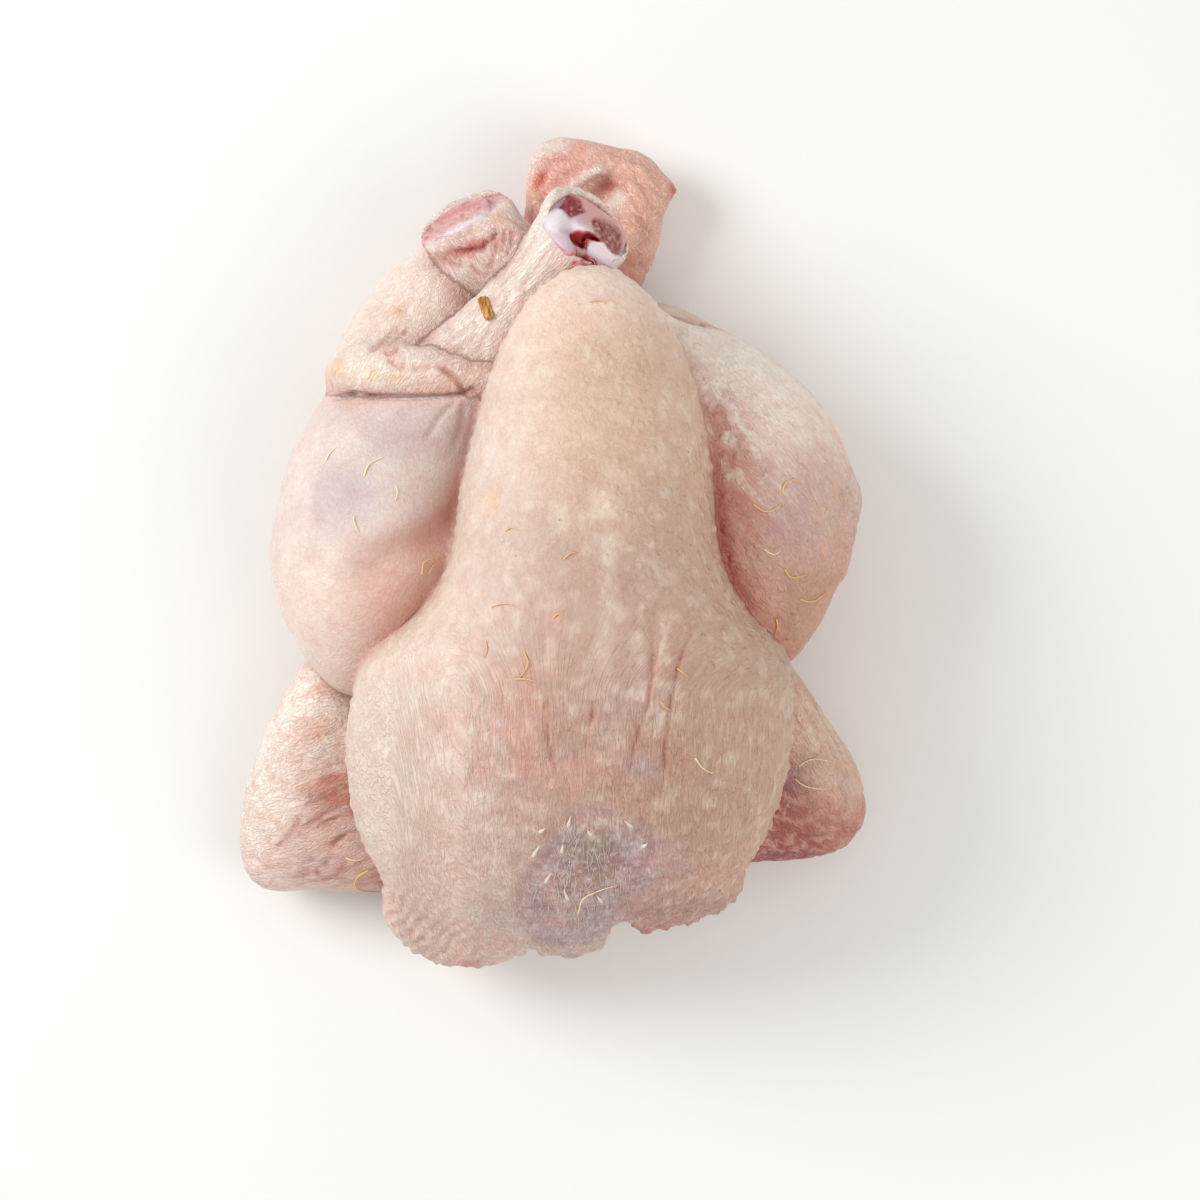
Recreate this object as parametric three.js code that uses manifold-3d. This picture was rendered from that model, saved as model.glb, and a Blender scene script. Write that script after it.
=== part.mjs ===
// A whole raw chicken, plucked and drawn, lying on its back with its legs crossed behind the breast.
//
// Units are millimetres. +Z is up and the flat of the back rests on z = 0. +Y runs along the bird from the
// neck end to the tail, and +X is its width. The bird is one solid of skin and flesh. The bone ends that
// show at the two hock cuts are solids of their own, seated in the shanks.
import * as THREE from "three";
import { mergeVertices } from "three/addons/utils/BufferGeometryUtils.js";
import Module from "manifold-3d";

const wasm = await Module();
wasm.setup();

// ---- Driving dimensions -----------------------------------------------------------------------------------

const NECK_END_Y = -121;
const BREAST_TIP_Y = 83;
const SHANK_RADIUS = 11.5;
const BONE_GAP = 0.35;
const BONE_DEPTH = 38;
const BONE_PROUD = 1;
const PLATE_DEPTH = 5;
const PLATE_SIDES = 22;
const COLUMN_TOP = 14;

// Each leg runs from the knee to the hock, where the foot was cut off along a plane that faces up and back.
// The skin flares round the joint, along a line of its own. across is the long way of the cut joint, and plate
// the oval of bone and gristle that fills it: its middle in the cut, its half length, half width and height.
const LEFT_LEG = {
  knee: [-72, 2, 36],
  hock: [16, 102, 68],
  cut: [11, 96.5, 68],
  facing: [0.5, 0.48, 0.72],
  across: [0.864, -0.322, -0.386],
  flare: [[-4, 82, 60], [15, 101, 68]],
  plate: { middle: [0, -1], reach: [12.6, 10.8], height: -1.7 },
};
const RIGHT_LEG = {
  knee: [80, 14, 43],
  hock: [-36, 107, 54],
  cut: [-27, 100, 53],
  facing: [-0.36, 0.64, 0.68],
  across: [0.883, 0.469, 0.026],
  flare: [[-19, 78, 44], [-29, 106, 53]],
  plate: { middle: [0, 1.2], reach: [13.9, 5.4], height: -1 },
};

// ---- Shape functions --------------------------------------------------------------------------------------

// The value at t, from 0 to 1, of a smooth curve through equally spaced values. A plain number is the same
// all along.
function along(values, t) {
  if (typeof values === "number") return values;
  const last = values.length - 1;
  const place = Math.min(Math.max(t, 0), 1) * last;
  const i = Math.min(Math.floor(place), last - 1);
  const f = place - i;
  const at = (k) => values[Math.min(Math.max(k, 0), last)];
  const [a, b, c, d] = [at(i - 1), at(i), at(i + 1), at(i + 2)];
  return b + 0.5 * f * (c - a + f * (2 * a - 5 * b + 4 * c - d + f * (3 * (b - c) + d - a)));
}

const power = (value, exponent) => Math.sign(value) * Math.abs(value) ** exponent;

// A ball drawn out along the line from one end to the other. side, top and bottom are its reach from that
// line, bend and lift move the line sideways and up, and each is a number or values along the way. ends is how
// blunt the two ends are, and section how square the cross-section is, where 2 is round.
function blob({ from, to, up = [0, 0, 1], side, top = side, bottom = top, bend = 0, lift = 0, ends = 2,
  section = 2, rings = 12, sides = 16 }) {
  const start = new THREE.Vector3(...from);
  const run = new THREE.Vector3(...to).sub(start);
  const axis = run.clone().normalize();
  const across = new THREE.Vector3().crossVectors(axis, new THREE.Vector3(...up)).normalize();
  const rise = new THREE.Vector3().crossVectors(across, axis);
  const geometry = new THREE.SphereGeometry(1, sides, rings);
  const position = geometry.getAttribute("position");
  const point = new THREE.Vector3();
  for (let i = 0; i < position.count; i++) {
    const [x, y, z] = [position.getX(i), position.getY(i), position.getZ(i)];
    const ring = Math.hypot(x, z);
    const t = (1 + power(y, 2 / ends)) / 2;
    const reach = ring ** (2 / ends);
    const v = ring > 1e-6 ? power(x / ring, 2 / section) * reach : 0;
    const w = ring > 1e-6 ? power(z / ring, 2 / section) * reach : 0;
    point.copy(start)
      .addScaledVector(run, t)
      .addScaledVector(across, along(bend, t) + v * along(side, t))
      .addScaledVector(rise, along(lift, t) + w * along(w > 0 ? top : bottom, t));
    position.setXYZ(i, point.x, point.y, point.z);
  }
  return solid(geometry);
}

// ---- Joining and cutting ----------------------------------------------------------------------------------

function solid(geometry) {
  const bare = geometry.clone();
  bare.deleteAttribute("normal");
  bare.deleteAttribute("uv");
  const merged = mergeVertices(bare, 1e-4);
  return new wasm.Manifold(new wasm.Mesh({
    numProp: 3,
    vertProperties: merged.getAttribute("position").array,
    triVerts: new Uint32Array(merged.index.array),
  }));
}

function geometryOf(body) {
  const { vertProperties, triVerts } = body.getMesh();
  const geometry = new THREE.BufferGeometry();
  geometry.setAttribute("position", new THREE.BufferAttribute(vertProperties, 3));
  geometry.setIndex(new THREE.BufferAttribute(triVerts, 1));
  return geometry.toNonIndexed();
}

const fuse = (bodies) => bodies.reduce((whole, body) => whole.add(body));

// ---- The bird ---------------------------------------------------------------------------------------------

// The breast from the neck end to its tip, which overhangs the vent: broad in front, and narrow between the
// legs.
function breast() {
  return blob({
    from: [0, NECK_END_Y, 0],
    to: [0, BREAST_TIP_Y, 0],
    bend: [-1, 1.5, 3.5, 5.5, 9, 9.8, 10.8, 11.2, 11.5],
    lift: [42, 45, 48, 50, 54, 58, 62, 68, 78],
    side: [82, 88, 83, 79, 75, 72, 68.5, 63.5, 50, 42.5, 40.4, 40.6, 40.5, 40.7, 41.2, 42, 42],
    top: [60, 63, 62, 61, 58, 53, 49, 46, 44],
    bottom: [30, 38, 42, 44, 46, 46, 44, 32, 20],
    section: 2.2,
    rings: 32,
    sides: 36,
  });
}

// The skin at the neck end: two lobes with the crop between them.
function neckEnd() {
  const left = blob({
    from: [-52, -100.5, 27],
    to: [-6, -112, 24],
    side: [17, 20.5, 17],
    top: 24,
    bottom: 20,
    ends: 3,
  });
  const right = blob({ from: [55, -88, 30], to: [27, -100, 26], side: 18, top: 20, ends: 2.6 });
  const crop = blob({ from: [10, -84, 44], to: [5, -122, 25], side: [14, 16, 9], top: 18, bottom: 16 });
  return [left, right, crop];
}

// An upright fold in the neck end, which parts the crop from a lobe.
function neckFold({ x, y, width, depth }) {
  return blob({
    from: [x, y, 90],
    to: [x, y, -10],
    up: [0, 1, 0],
    side: width,
    top: depth,
    ends: 4,
    rings: 8,
    sides: 12,
  });
}

function back() {
  return blob({
    from: [4, -112, 26],
    to: [8, 98, 24],
    side: [40, 48, 54, 54, 52, 48, 40, 31, 20],
    top: [30, 36, 36, 34, 32, 28, 22, 16, 14],
    bottom: 34,
    ends: 2.6,
    section: 2.4,
    rings: 14,
    sides: 20,
  });
}

function thighs() {
  const left = blob({
    from: [-61, -44, 36],
    to: [-44, 64, 35],
    side: [28, 31, 31.5, 30, 26],
    top: [34, 37, 38, 35, 28],
    bottom: 36,
    rings: 20,
    sides: 24,
  });
  const right = blob({
    from: [65, -36, 36],
    to: [48, 66, 35],
    side: [25, 30, 34, 33, 22],
    top: [32, 36, 37, 34, 26],
    bottom: 36,
    rings: 20,
    sides: 24,
  });
  return [left, right];
}

// A half-space as a block, whose face goes through a point and looks the given way.
function beyond(point, facing) {
  const normal = new THREE.Vector3(...facing).normalize();
  const block = new THREE.BoxGeometry(120, 120, 40);
  block.translate(0, 0, 20);
  block.applyQuaternion(new THREE.Quaternion().setFromUnitVectors(new THREE.Vector3(0, 0, 1), normal));
  block.translate(...point);
  return solid(block);
}

// A drumstick from inside the knee to the cut at the hock.
function leg({ knee, hock, cut, facing, flare }) {
  const meat = blob({
    from: knee,
    to: hock,
    side: [8, 14, 17.5, 15.5, 12.5, SHANK_RADIUS, 15],
    top: [8, 14, 17.5, 15.5, 12.5, SHANK_RADIUS, 12],
    ends: 4,
    rings: 16,
    sides: 18,
  });
  const skin = blob({ from: flare[0], to: flare[1], side: [8, 11, 14, 15], top: [7, 9, 10, 10], ends: 4 });
  return meat.add(skin).subtract(beyond(cut, facing));
}

// Places at a hock cut: a runs along the joint, b across it, and c out of the cut.
function placesAt({ cut, facing, across }) {
  const out = new THREE.Vector3(...facing).normalize();
  const over = new THREE.Vector3().crossVectors(out, new THREE.Vector3(...across)).normalize();
  const along = new THREE.Vector3().crossVectors(over, out);
  const frame = new THREE.Matrix4().makeBasis(along, over, out).setPosition(...cut);
  const at = (a, b, c) => new THREE.Vector3(a, b, c).applyMatrix4(frame);
  return { at, frame, out: out.toArray() };
}

// The end of the leg bone, which widens into the joint. grow makes the socket that holds it.
function boneShaft({ knee, cut }, grow = 0) {
  const end = new THREE.Vector3(...cut);
  const axis = end.clone().sub(new THREE.Vector3(...knee)).normalize();
  const at = (distance) => end.clone().addScaledVector(axis, distance).toArray();
  return blob({
    from: at(-BONE_DEPTH - grow),
    to: at(COLUMN_TOP),
    side: [4.2, 4.2, 5, 10, 9].map((reach) => reach + grow),
    top: [4.2, 4.2, 4.4, 5, 4.5].map((reach) => reach + grow),
    ends: 5,
    rings: 10,
    sides: 12,
  });
}

// An oval column as wide as the plate, between two heights over the cut.
function column(leg, low, high, grow = 0) {
  const { middle, reach } = leg.plate;
  const oval = new THREE.CylinderGeometry(1, 1, high - low, PLATE_SIDES).rotateX(Math.PI / 2);
  oval.scale(reach[0] + grow, reach[1] + grow, 1);
  oval.translate(...middle, (high + low) / 2);
  return solid(oval.applyMatrix4(placesAt(leg).frame));
}

// The hollow that holds a bone.
function socket(leg) {
  return boneShaft(leg, BONE_GAP).add(column(leg, -PLATE_DEPTH - BONE_GAP, COLUMN_TOP, BONE_GAP));
}

// A rounded rod that lies in the cut, with its middle at the height c over it.
function rod(leg, start, end, { reach, height, c, section = 2 }) {
  const { at, out } = placesAt(leg);
  const [from, to] = [at(...start, c), at(...end, c)];
  const more = to.clone().sub(from).setLength(reach);
  return blob({
    from: from.sub(more).toArray(),
    to: to.add(more).toArray(),
    up: out,
    side: reach,
    top: height,
    ends: section,
    section,
    rings: 6,
    sides: 10,
  });
}

// The bone that shows in a cut: the shaft, the plate round it, and raised and sunken rods within the plate.
function bone(leg, raised, sunken = []) {
  const { at } = placesAt(leg);
  const level = at(0, 0, BONE_PROUD).toArray();
  const shaft = boneShaft(leg).subtract(beyond(level, leg.facing));
  const plate = column(leg, -PLATE_DEPTH, leg.plate.height);
  const relief = fuse(raised).intersect(column(leg, -PLATE_DEPTH, COLUMN_TOP));
  return sunken.reduce((whole, hollow) => whole.subtract(hollow), fuse([shaft, plate, relief]));
}

// The left joint: a bar that holds two marrow hollows, a knob and a ridge beside it, and a pit between them.
function leftBone() {
  const bar = rod(LEFT_LEG, [-5.1, 6.3], [8.9, 1.3], { reach: 4.6, height: 3.4, c: -2.6, section: 3 });
  const knob = rod(LEFT_LEG, [-10.3, -4.1], [-8.5, 0.6], { reach: 3.3, height: 3.2, c: -2.5 });
  const ridge = rod(LEFT_LEG, [3.1, -5.4], [10, -6.8], { reach: 2.3, height: 3.4, c: -2.6 });
  const pit = rod(LEFT_LEG, [-3.5, -6.7], [-2.1, -7.9], { reach: 2.1, height: 4, c: -1 });
  return bone(LEFT_LEG, [bar, knob, ridge], [pit]);
}

// The right joint: a long face of spongy bone, with a thin band of gristle along its lower edge.
function rightBone() {
  const face = rod(RIGHT_LEG, [-8.1, 3.7], [7.7, 2.1], { reach: 3.4, height: 3.4, c: -2.8 });
  const band = rod(RIGHT_LEG, [-12, -1.8], [12, -1.1], { reach: 1, height: 2.2, c: -1.6 });
  return bone(RIGHT_LEG, [face, band]);
}

// The loose skin of the left leg: pushed up into a roll across the drumstick, the flank behind it, and the web
// between the flank and the shank.
function leftFlank() {
  const roll = blob({
    from: [-66, 54, 32],
    to: [-15, 52, 66],
    lift: [0, 12, 13, 7, 0],
    side: [7, 8, 8, 7.5, 6],
    top: [9, 10, 9, 8, 7],
    ends: 3,
  });
  const flank = blob({
    from: [-61, 38, 25],
    to: [-24, 100, 26],
    side: [18, 19, 18, 15, 12],
    top: [35, 33, 29, 25, 18],
    bottom: 26,
    ends: 2.6,
  });
  const web = blob({
    from: [-42, 64, 34],
    to: [-20, 88, 38],
    side: [12, 12, 9],
    top: [16, 15, 12],
    bottom: 20,
    rings: 9,
    sides: 14,
  });
  return [roll, flank, web];
}

function rightFlank() {
  return blob({
    from: [20, 76, 28],
    to: [70, 33, 28],
    side: [7, 11.5, 13.5, 14.5, 15],
    top: [14, 15, 16, 16, 14],
    bottom: 28,
    ends: 2.6,
  });
}

// A wing lying folded at the side: the forearm outside, the hand turned in under the breast, and skin between
// them.
function wing({ elbow, wrist, width, hand, web, webWidth }) {
  const forearm = blob({ from: elbow, to: wrist, side: width, top: [12, 15, 16, 15, 12], ends: 2.8 });
  const folded = blob({ from: hand[0], to: hand[1], side: 11, top: 12, bottom: 14, ends: 2.8 });
  const skin = blob({ from: web[0], to: web[1], side: webWidth, top: 16, bottom: 14, ends: 3 });
  return [forearm, folded, skin];
}

function wings() {
  return [
    ...wing({
      elbow: [-64, -22, 24],
      wrist: [-89, -103, 16],
      width: [8, 11, 14, 15, 13],
      hand: [[-92, -92, 15], [-36, -94, 14]],
      web: [[-64, -44, 20], [-64, -100, 16]],
      webWidth: 22,
    }),
    ...wing({
      elbow: [57, -26, 24],
      wrist: [91, -86, 16],
      width: [8, 10, 11, 12.5, 12],
      hand: [[91, -83, 15], [40, -86, 14]],
      web: [[60, -44, 20], [66, -86, 16]],
      webWidth: 16,
    }),
  ];
}

// The tail, with the skin round the vent turned up behind it as a rounded rim.
function tail() {
  const nub = blob({
    from: [8, 74, 10],
    to: [14, 126, 11],
    side: [20, 21, 20],
    top: [8, 6, 6],
    bottom: 24,
    rings: 8,
  });
  const rim = blob({
    from: [-6, 96, 15],
    to: [25, 123, 17],
    bend: [0, -9, -13, -9, 0],
    lift: [0, 2, 3, 2, 0],
    side: [6, 7, 7.5, 7, 5.5],
    top: 6,
    ends: 3,
  });
  const lobe = blob({
    from: [20, 84, 13],
    to: [26, 121, 14],
    side: [6, 8, 8],
    top: [8, 11, 9],
    bottom: 18,
    rings: 9,
  });
  const point = blob({ from: [18, 112, 15], to: [38, 113, 16], side: [11, 10, 4], top: [9, 7, 4], rings: 10 });
  return [nub, rim, lobe, point];
}

// The broken end of one feather, left standing in the skin of the left shank.
function quill() {
  return blob({ from: [-20.5, 74, 65], to: [-18.5, 67.5, 71], side: 2, top: 1.5, ends: 4, rings: 6, sides: 8 });
}

const FLOOR = solid(new THREE.BoxGeometry(400, 400, 100).translate(0, 0, -50));

// The drawn body cavity, open at the vent between the tail and the breast tip.
function cavity() {
  return blob({
    from: [8, 42, 26],
    to: [6, 112, 26],
    side: [14, 17, 16, 15, 12],
    top: [10, 12, 12, 12, 11],
    bottom: [10, 14, 14, 12, 8],
    ends: 3,
    rings: 14,
    sides: 16,
  });
}

const skin = [breast(), ...neckEnd(), back(), ...thighs(), ...leftFlank(), rightFlank(), ...wings(), ...tail()];
const bird = fuse(skin)
  .subtract(neckFold({ x: -6.5, y: -126, width: 3.5, depth: 8.4 }))
  .subtract(neckFold({ x: 21, y: -120.5, width: 6.5, depth: 11 }))
  .subtract(cavity())
  .add(leg(LEFT_LEG))
  .add(leg(RIGHT_LEG))
  .add(quill())
  .subtract(socket(LEFT_LEG))
  .subtract(socket(RIGHT_LEG))
  .subtract(FLOOR);

// ---- Scene graph ------------------------------------------------------------------------------------------

const SKIN = new THREE.MeshStandardMaterial({ name: "skin", color: 0xe8cdb9, roughness: 0.45 });
const BONE = new THREE.MeshStandardMaterial({ name: "bone", color: 0xe8dcd7, roughness: 0.4 });

const chicken = new THREE.Group();
for (const [name, body, material] of [
  ["chicken", bird, SKIN],
  ["left_hock_bone", leftBone(), BONE],
  ["right_hock_bone", rightBone(), BONE],
]) {
  const mesh = new THREE.Mesh(geometryOf(body), material);
  mesh.name = name;
  chicken.add(mesh);
}

export default chicken;
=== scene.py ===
"""A whole raw chicken on its back, seen from above on a pale table.

The skin is worked out as one soft surface in a block of cells. Each rounded form of the bird gives
its distance at every cell, the forms run together part by part, and a closed mesh is drawn round
what lies inside. Creases, folds, goose bumps and colours are then laid on that mesh. Lengths are in
millimetres until a mesh is made.
"""

import math
from itertools import product

import bpy
import numpy as np
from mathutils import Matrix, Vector
from mathutils.bvhtree import BVHTree


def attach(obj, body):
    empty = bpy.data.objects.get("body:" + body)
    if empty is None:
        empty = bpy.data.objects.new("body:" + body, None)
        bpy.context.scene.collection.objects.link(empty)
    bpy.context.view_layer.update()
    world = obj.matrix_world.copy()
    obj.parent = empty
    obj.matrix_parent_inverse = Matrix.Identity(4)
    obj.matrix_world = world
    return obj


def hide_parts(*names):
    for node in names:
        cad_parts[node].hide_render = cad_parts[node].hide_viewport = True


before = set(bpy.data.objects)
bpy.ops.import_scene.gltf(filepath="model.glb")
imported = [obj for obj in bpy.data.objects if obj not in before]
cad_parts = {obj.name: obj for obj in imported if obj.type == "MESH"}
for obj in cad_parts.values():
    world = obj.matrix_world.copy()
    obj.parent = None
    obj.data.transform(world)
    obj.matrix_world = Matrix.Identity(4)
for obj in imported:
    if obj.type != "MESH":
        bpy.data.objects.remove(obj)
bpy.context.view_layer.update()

MM = 0.001

# ---- The view from above -----------------------------------------------------

CAMERA_HEIGHT = 1100.0
VIEW_X, VIEW_Y = 13.9, -14.5
GROUND_MM_PER_PIXEL = 0.315
PHOTO_WIDTH = 1200


def photo_place(points):
    """Where points of the bird lie in the picture from above, in pixels from its top left corner."""
    scale = GROUND_MM_PER_PIXEL * (1 - points[..., 2] / CAMERA_HEIGHT)
    across = PHOTO_WIDTH / 2 + (points[..., 0] - VIEW_X) / scale
    down = PHOTO_WIDTH / 2 - (points[..., 1] - VIEW_Y) / scale
    return np.stack([across, down], -1)


def sight(place):
    """The line along which the camera sees a place of the picture, from the eye to the ground."""
    across, down = GROUND_MM_PER_PIXEL * (np.asarray(place, float) - PHOTO_WIDTH / 2)
    return np.array((VIEW_X, VIEW_Y, CAMERA_HEIGHT)), np.array((VIEW_X + across, VIEW_Y - down, 0.0))


# ---- Curves, noise and masks -------------------------------------------------


def unit(v):
    v = np.asarray(v, float)
    return v / np.linalg.norm(v)


def smooth_curve(values, t):
    """The value at t, from 0 to 1, of a smooth curve through equally spaced values."""
    values = np.asarray(values, float)
    last = len(values) - 1
    place = np.clip(t, 0, 1) * last
    i = np.minimum(place.astype(int), last - 1)
    f = place - i
    if values.ndim > 1:
        f = f[..., None]
    a, b, c, d = (values[np.clip(i + k, 0, last)] for k in (-1, 0, 1, 2))
    return b + 0.5 * f * (c - a + f * (2 * a - 5 * b + 4 * c - d + f * (3 * (b - c) + d - a)))


PROFILE_SAMPLES = np.linspace(0, 1, 129)


def along(values, t):
    """A size at t along a form: one number all along, or a smooth curve through several."""
    if np.isscalar(values):
        return values
    return np.interp(t, PROFILE_SAMPLES, smooth_curve(values, PROFILE_SAMPLES))


def soft_min(a, b, blend):
    """The lower of two distances, rounded where they are within blend of each other."""
    h = np.maximum(blend - np.abs(a - b), 0) / blend
    return np.minimum(a, b) - h * h * blend / 4


def soft_max(a, b, blend):
    return -soft_min(-a, -b, blend)


def ramp(x, low, high):
    """0 below low, 1 above high and smooth between."""
    t = np.clip((x - low) / (high - low), 0, 1)
    return t * t * (3 - 2 * t)


# Noise repeats after this many of its cells.
LATTICE = 40


def noise(points, size, seed):
    """Smooth noise between about -1 and 1, whose bumps are about size across."""
    table = np.random.default_rng(seed).uniform(-1, 1, (LATTICE,) * 3)
    place = points / size
    cell = np.floor(place).astype(int)
    f = place - cell
    f = f * f * (3 - 2 * f)
    total = 0
    for corner in product((0, 1), repeat=3):
        weight = np.prod(np.where(corner, f, 1 - f), -1)
        total = total + weight * table[tuple(np.moveaxis((cell + corner) % LATTICE, -1, 0))]
    return total


def streaks(points, way, length, width, seed):
    """Smooth noise drawn out in one direction of space, between about -1 and 1."""
    way = unit(way)
    run = (points @ way)[:, None] * way
    return noise((points - run) / width + run / length, 1, seed)


# Folds are this much steeper than the noise they are made from.
CREASE_SHARPNESS = 2.2


def folds(points, way, length, width, seed):
    """Round folds from 0 in the creases to 1 on their backs, running in one direction of space."""
    gap = CREASE_SHARPNESS * np.abs(streaks(points, way, length, width, seed))
    return 1 - (1 - np.minimum(1, gap)) ** 2


def rows(points, across, spacing, seed):
    """Wavy rows that follow one another in space, from 0 between them to 1 on their backs."""
    place = points @ unit(across) / spacing + 0.5 * noise(points, 2.5 * spacing, seed)
    return 0.5 + 0.5 * np.cos(2 * math.pi * place)


# Bumps: where in its cell each may stand, and how wide it is, both in cells.
BUMP_PLACE = (0.15, 0.85)
BUMP_WIDTH = 0.32


def bumps(points, size, seed):
    """Round bumps from 0 to 1, spread unevenly about size apart."""
    table = np.random.default_rng(seed).uniform(*BUMP_PLACE, (LATTICE, LATTICE, LATTICE, 3))
    place = points / size
    cell = np.floor(place).astype(int)
    nearest = np.full(len(points), np.inf)
    for offset in product((-1, 0, 1), repeat=3):
        here = cell + offset
        centre = here + table[tuple((here % LATTICE).T)]
        nearest = np.minimum(nearest, ((place - centre) ** 2).sum(-1))
    return np.exp(-nearest / BUMP_WIDTH**2)


# Straight pieces of a smooth line and of an outline, for each of their points.
LINE_PIECES = 8
OUTLINE_PIECES = 12
# A stroke is left out beyond this many widths, and its ends are never quite 0 even without a fade.
STROKE_REACH = 3
STROKE_END = -0.02


def stroke(place, path, width, fade=0.25):
    """1 on a smooth line in the picture, falling to 0 within about twice width to each side.

    The line fades out over the given share of its length at both ends.
    """
    path = np.array(path, float)
    t = np.linspace(0, 1, LINE_PIECES * len(path))
    line = smooth_curve(path, t)
    low, high = line.min(0) - STROKE_REACH * width, line.max(0) + STROKE_REACH * width
    near = np.flatnonzero(((place > low) & (place < high)).all(-1))
    result = np.zeros(len(place))
    if not len(near):
        return result
    best, best_t = np.full(len(near), np.inf), np.zeros(len(near))
    for a, b, t0, t1 in zip(line[:-1], line[1:], t[:-1], t[1:]):
        ab = b - a
        s = np.clip(((place[near] - a) @ ab) / (ab @ ab), 0, 1)
        gap = np.hypot(*(place[near] - a - s[:, None] * ab).T)
        closer = gap < best
        best[closer] = gap[closer]
        best_t[closer] = (t0 + s * (t1 - t0))[closer]
    taper = ramp(np.minimum(best_t, 1 - best_t), STROKE_END, fade)
    result[near] = np.exp(-((best / width) ** 2)) * taper
    return result


def spot(place, centre, reach, turn=0.0):
    """1 in the middle of an oval of the picture, falling smoothly to 0 well outside its reach."""
    c, s = math.cos(math.radians(turn)), math.sin(math.radians(turn))
    x, y = place[:, 0] - centre[0], place[:, 1] - centre[1]
    return np.exp(-(((c * x + s * y) / reach[0]) ** 2) - (((c * y - s * x) / reach[1]) ** 2))


def patch(place, outline, fade):
    """1 inside a smooth closed outline of the picture and 0 outside it, fading over the given distance."""
    closed = np.array([*outline, *outline[:3]], float)
    first = 1 / (len(closed) - 1)
    t = np.linspace(first, 1 - first, OUTLINE_PIECES * len(outline) + 1)
    line = smooth_curve(closed, t)
    inside = np.zeros(len(place), bool)
    gap = np.full(len(place), np.inf)
    for a, b in zip(line[:-1], line[1:]):
        ab, ap = b - a, place - a
        s = np.clip((ap @ ab) / (ab @ ab), 0, 1)
        gap = np.minimum(gap, np.hypot(*(ap - s[:, None] * ab).T))
        spans = (a[1] > place[:, 1]) != (b[1] > place[:, 1])
        inside ^= spans & (ap[:, 0] < ab[0] * ap[:, 1] / (ab[1] or 1))
    return ramp(np.where(inside, gap, -gap), -fade / 2, fade / 2)


# ---- Distances in a block of cells -------------------------------------------

# Distances are worked out this far beyond a form, and are FAR outside that.
EDGE = 8.0
FAR = 30.0
# The least slope of a form's gauge that counts, so that its middle has no endless distances.
GAUGE_SLOPE = 0.3
# How points settle on a surface: in this many steps, and with at least this slope squared.
SETTLING_STEPS = 3
SETTLING_SLOPE = 0.2


class Block:
    """A block of cells that holds distances, in millimetres, below 0 inside a form."""

    def __init__(self, low, high, step):
        self.low, self.step = np.array(low, float), step
        self.count = np.ceil((np.array(high) - self.low) / step).astype(int) + 1

    def empty(self):
        return np.full(self.count, FAR, np.float32)

    def near(self, low, high):
        """The cells from low to high, as slices, with their coordinates."""
        low, high = ((np.array(corner) - self.low) / self.step for corner in (low, high))
        first = np.clip(np.floor(low).astype(int), 0, self.count - 3)
        last = np.clip(np.ceil(high).astype(int) + 1, first + 3, self.count)
        spans = tuple(slice(a, b) for a, b in zip(first, last))
        x, y, z = (self.low[k] + self.step * np.arange(first[k], last[k]) for k in range(3))
        return spans, x[:, None, None], y[None, :, None], z[None, None, :]

    def sample(self, volume, points):
        """volume between the cells, at any points."""
        place = np.clip((points - self.low) / self.step, 0, self.count - 1.001)
        cell = place.astype(int)
        f = place - cell
        total = 0
        for corner in product((0, 1), repeat=3):
            weight = np.prod(np.where(corner, f, 1 - f), -1)
            total = total + weight * volume[tuple((cell + corner).T)]
        return total

    def slope(self, volume, points):
        """The direction in which volume rises, at any points."""
        shift = np.eye(3) * self.step
        rises = [self.sample(volume, points + d) - self.sample(volume, points - d) for d in shift]
        return np.stack(rises, -1) / (2 * self.step)


def form(
    block, start, end, side, top=None, bottom=None, bend=0, lift=0, ends=2, section=2, up=(0, 0, 1)
):
    """Distances from a ball drawn out along the line from start to end.

    side, top and bottom are its reach from that line, bend and lift move the line sideways and up,
    ends is how blunt the two ends are, and section how square the cross-section is, where 2 is round.
    """
    top = side if top is None else top
    bottom = top if bottom is None else bottom
    start, end = np.array(start, float), np.array(end, float)
    length = np.linalg.norm(end - start)
    axis = (end - start) / length
    across = unit(np.cross(axis, up))
    rise = np.cross(across, axis)
    reach = max(np.max(np.abs(s)) for s in (side, top, bottom)) + np.max(np.abs(bend)) + EDGE
    raised = np.max(np.abs(lift))
    low, high = np.minimum(start, end) - reach, np.maximum(start, end) + reach
    spans, x, y, z = block.near(low, high + (0, 0, raised))
    x, y, z = x - start[0], y - start[1], z - start[2]
    t = (x * axis[0] + y * axis[1] + z * axis[2]) / length
    v = x * across[0] + y * across[1] + z * across[2]
    w = x * rise[0] + y * rise[1] + z * rise[2]
    v = np.abs(v - along(bend, t)) / along(side, t)
    w = w - along(lift, t)
    w = np.abs(w) / np.where(w > 0, along(top, t), along(bottom, t))
    gauge = ((v**section + w**section) ** (ends / section) + np.abs(2 * t - 1) ** ends) ** (1 / ends) - 1
    slope = np.sqrt(sum(g * g for g in np.gradient(gauge, block.step)))
    volume = block.empty()
    volume[spans] = np.minimum(gauge / np.maximum(slope, GAUGE_SLOPE / reach), FAR)
    return volume


def joined(volumes, blend):
    """Forms that run into one another over the given distance."""
    whole = volumes[0]
    for volume in volumes[1:]:
        whole = soft_min(whole, volume, blend)
    return whole


def cut_plane(block, point, facing):
    """How far each cell lies in front of a plane."""
    _, x, y, z = block.near(block.low, block.low + block.step * block.count)
    n = unit(facing)
    return ((x - point[0]) * n[0] + (y - point[1]) * n[1] + (z - point[2]) * n[2]).astype(np.float32)


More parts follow.
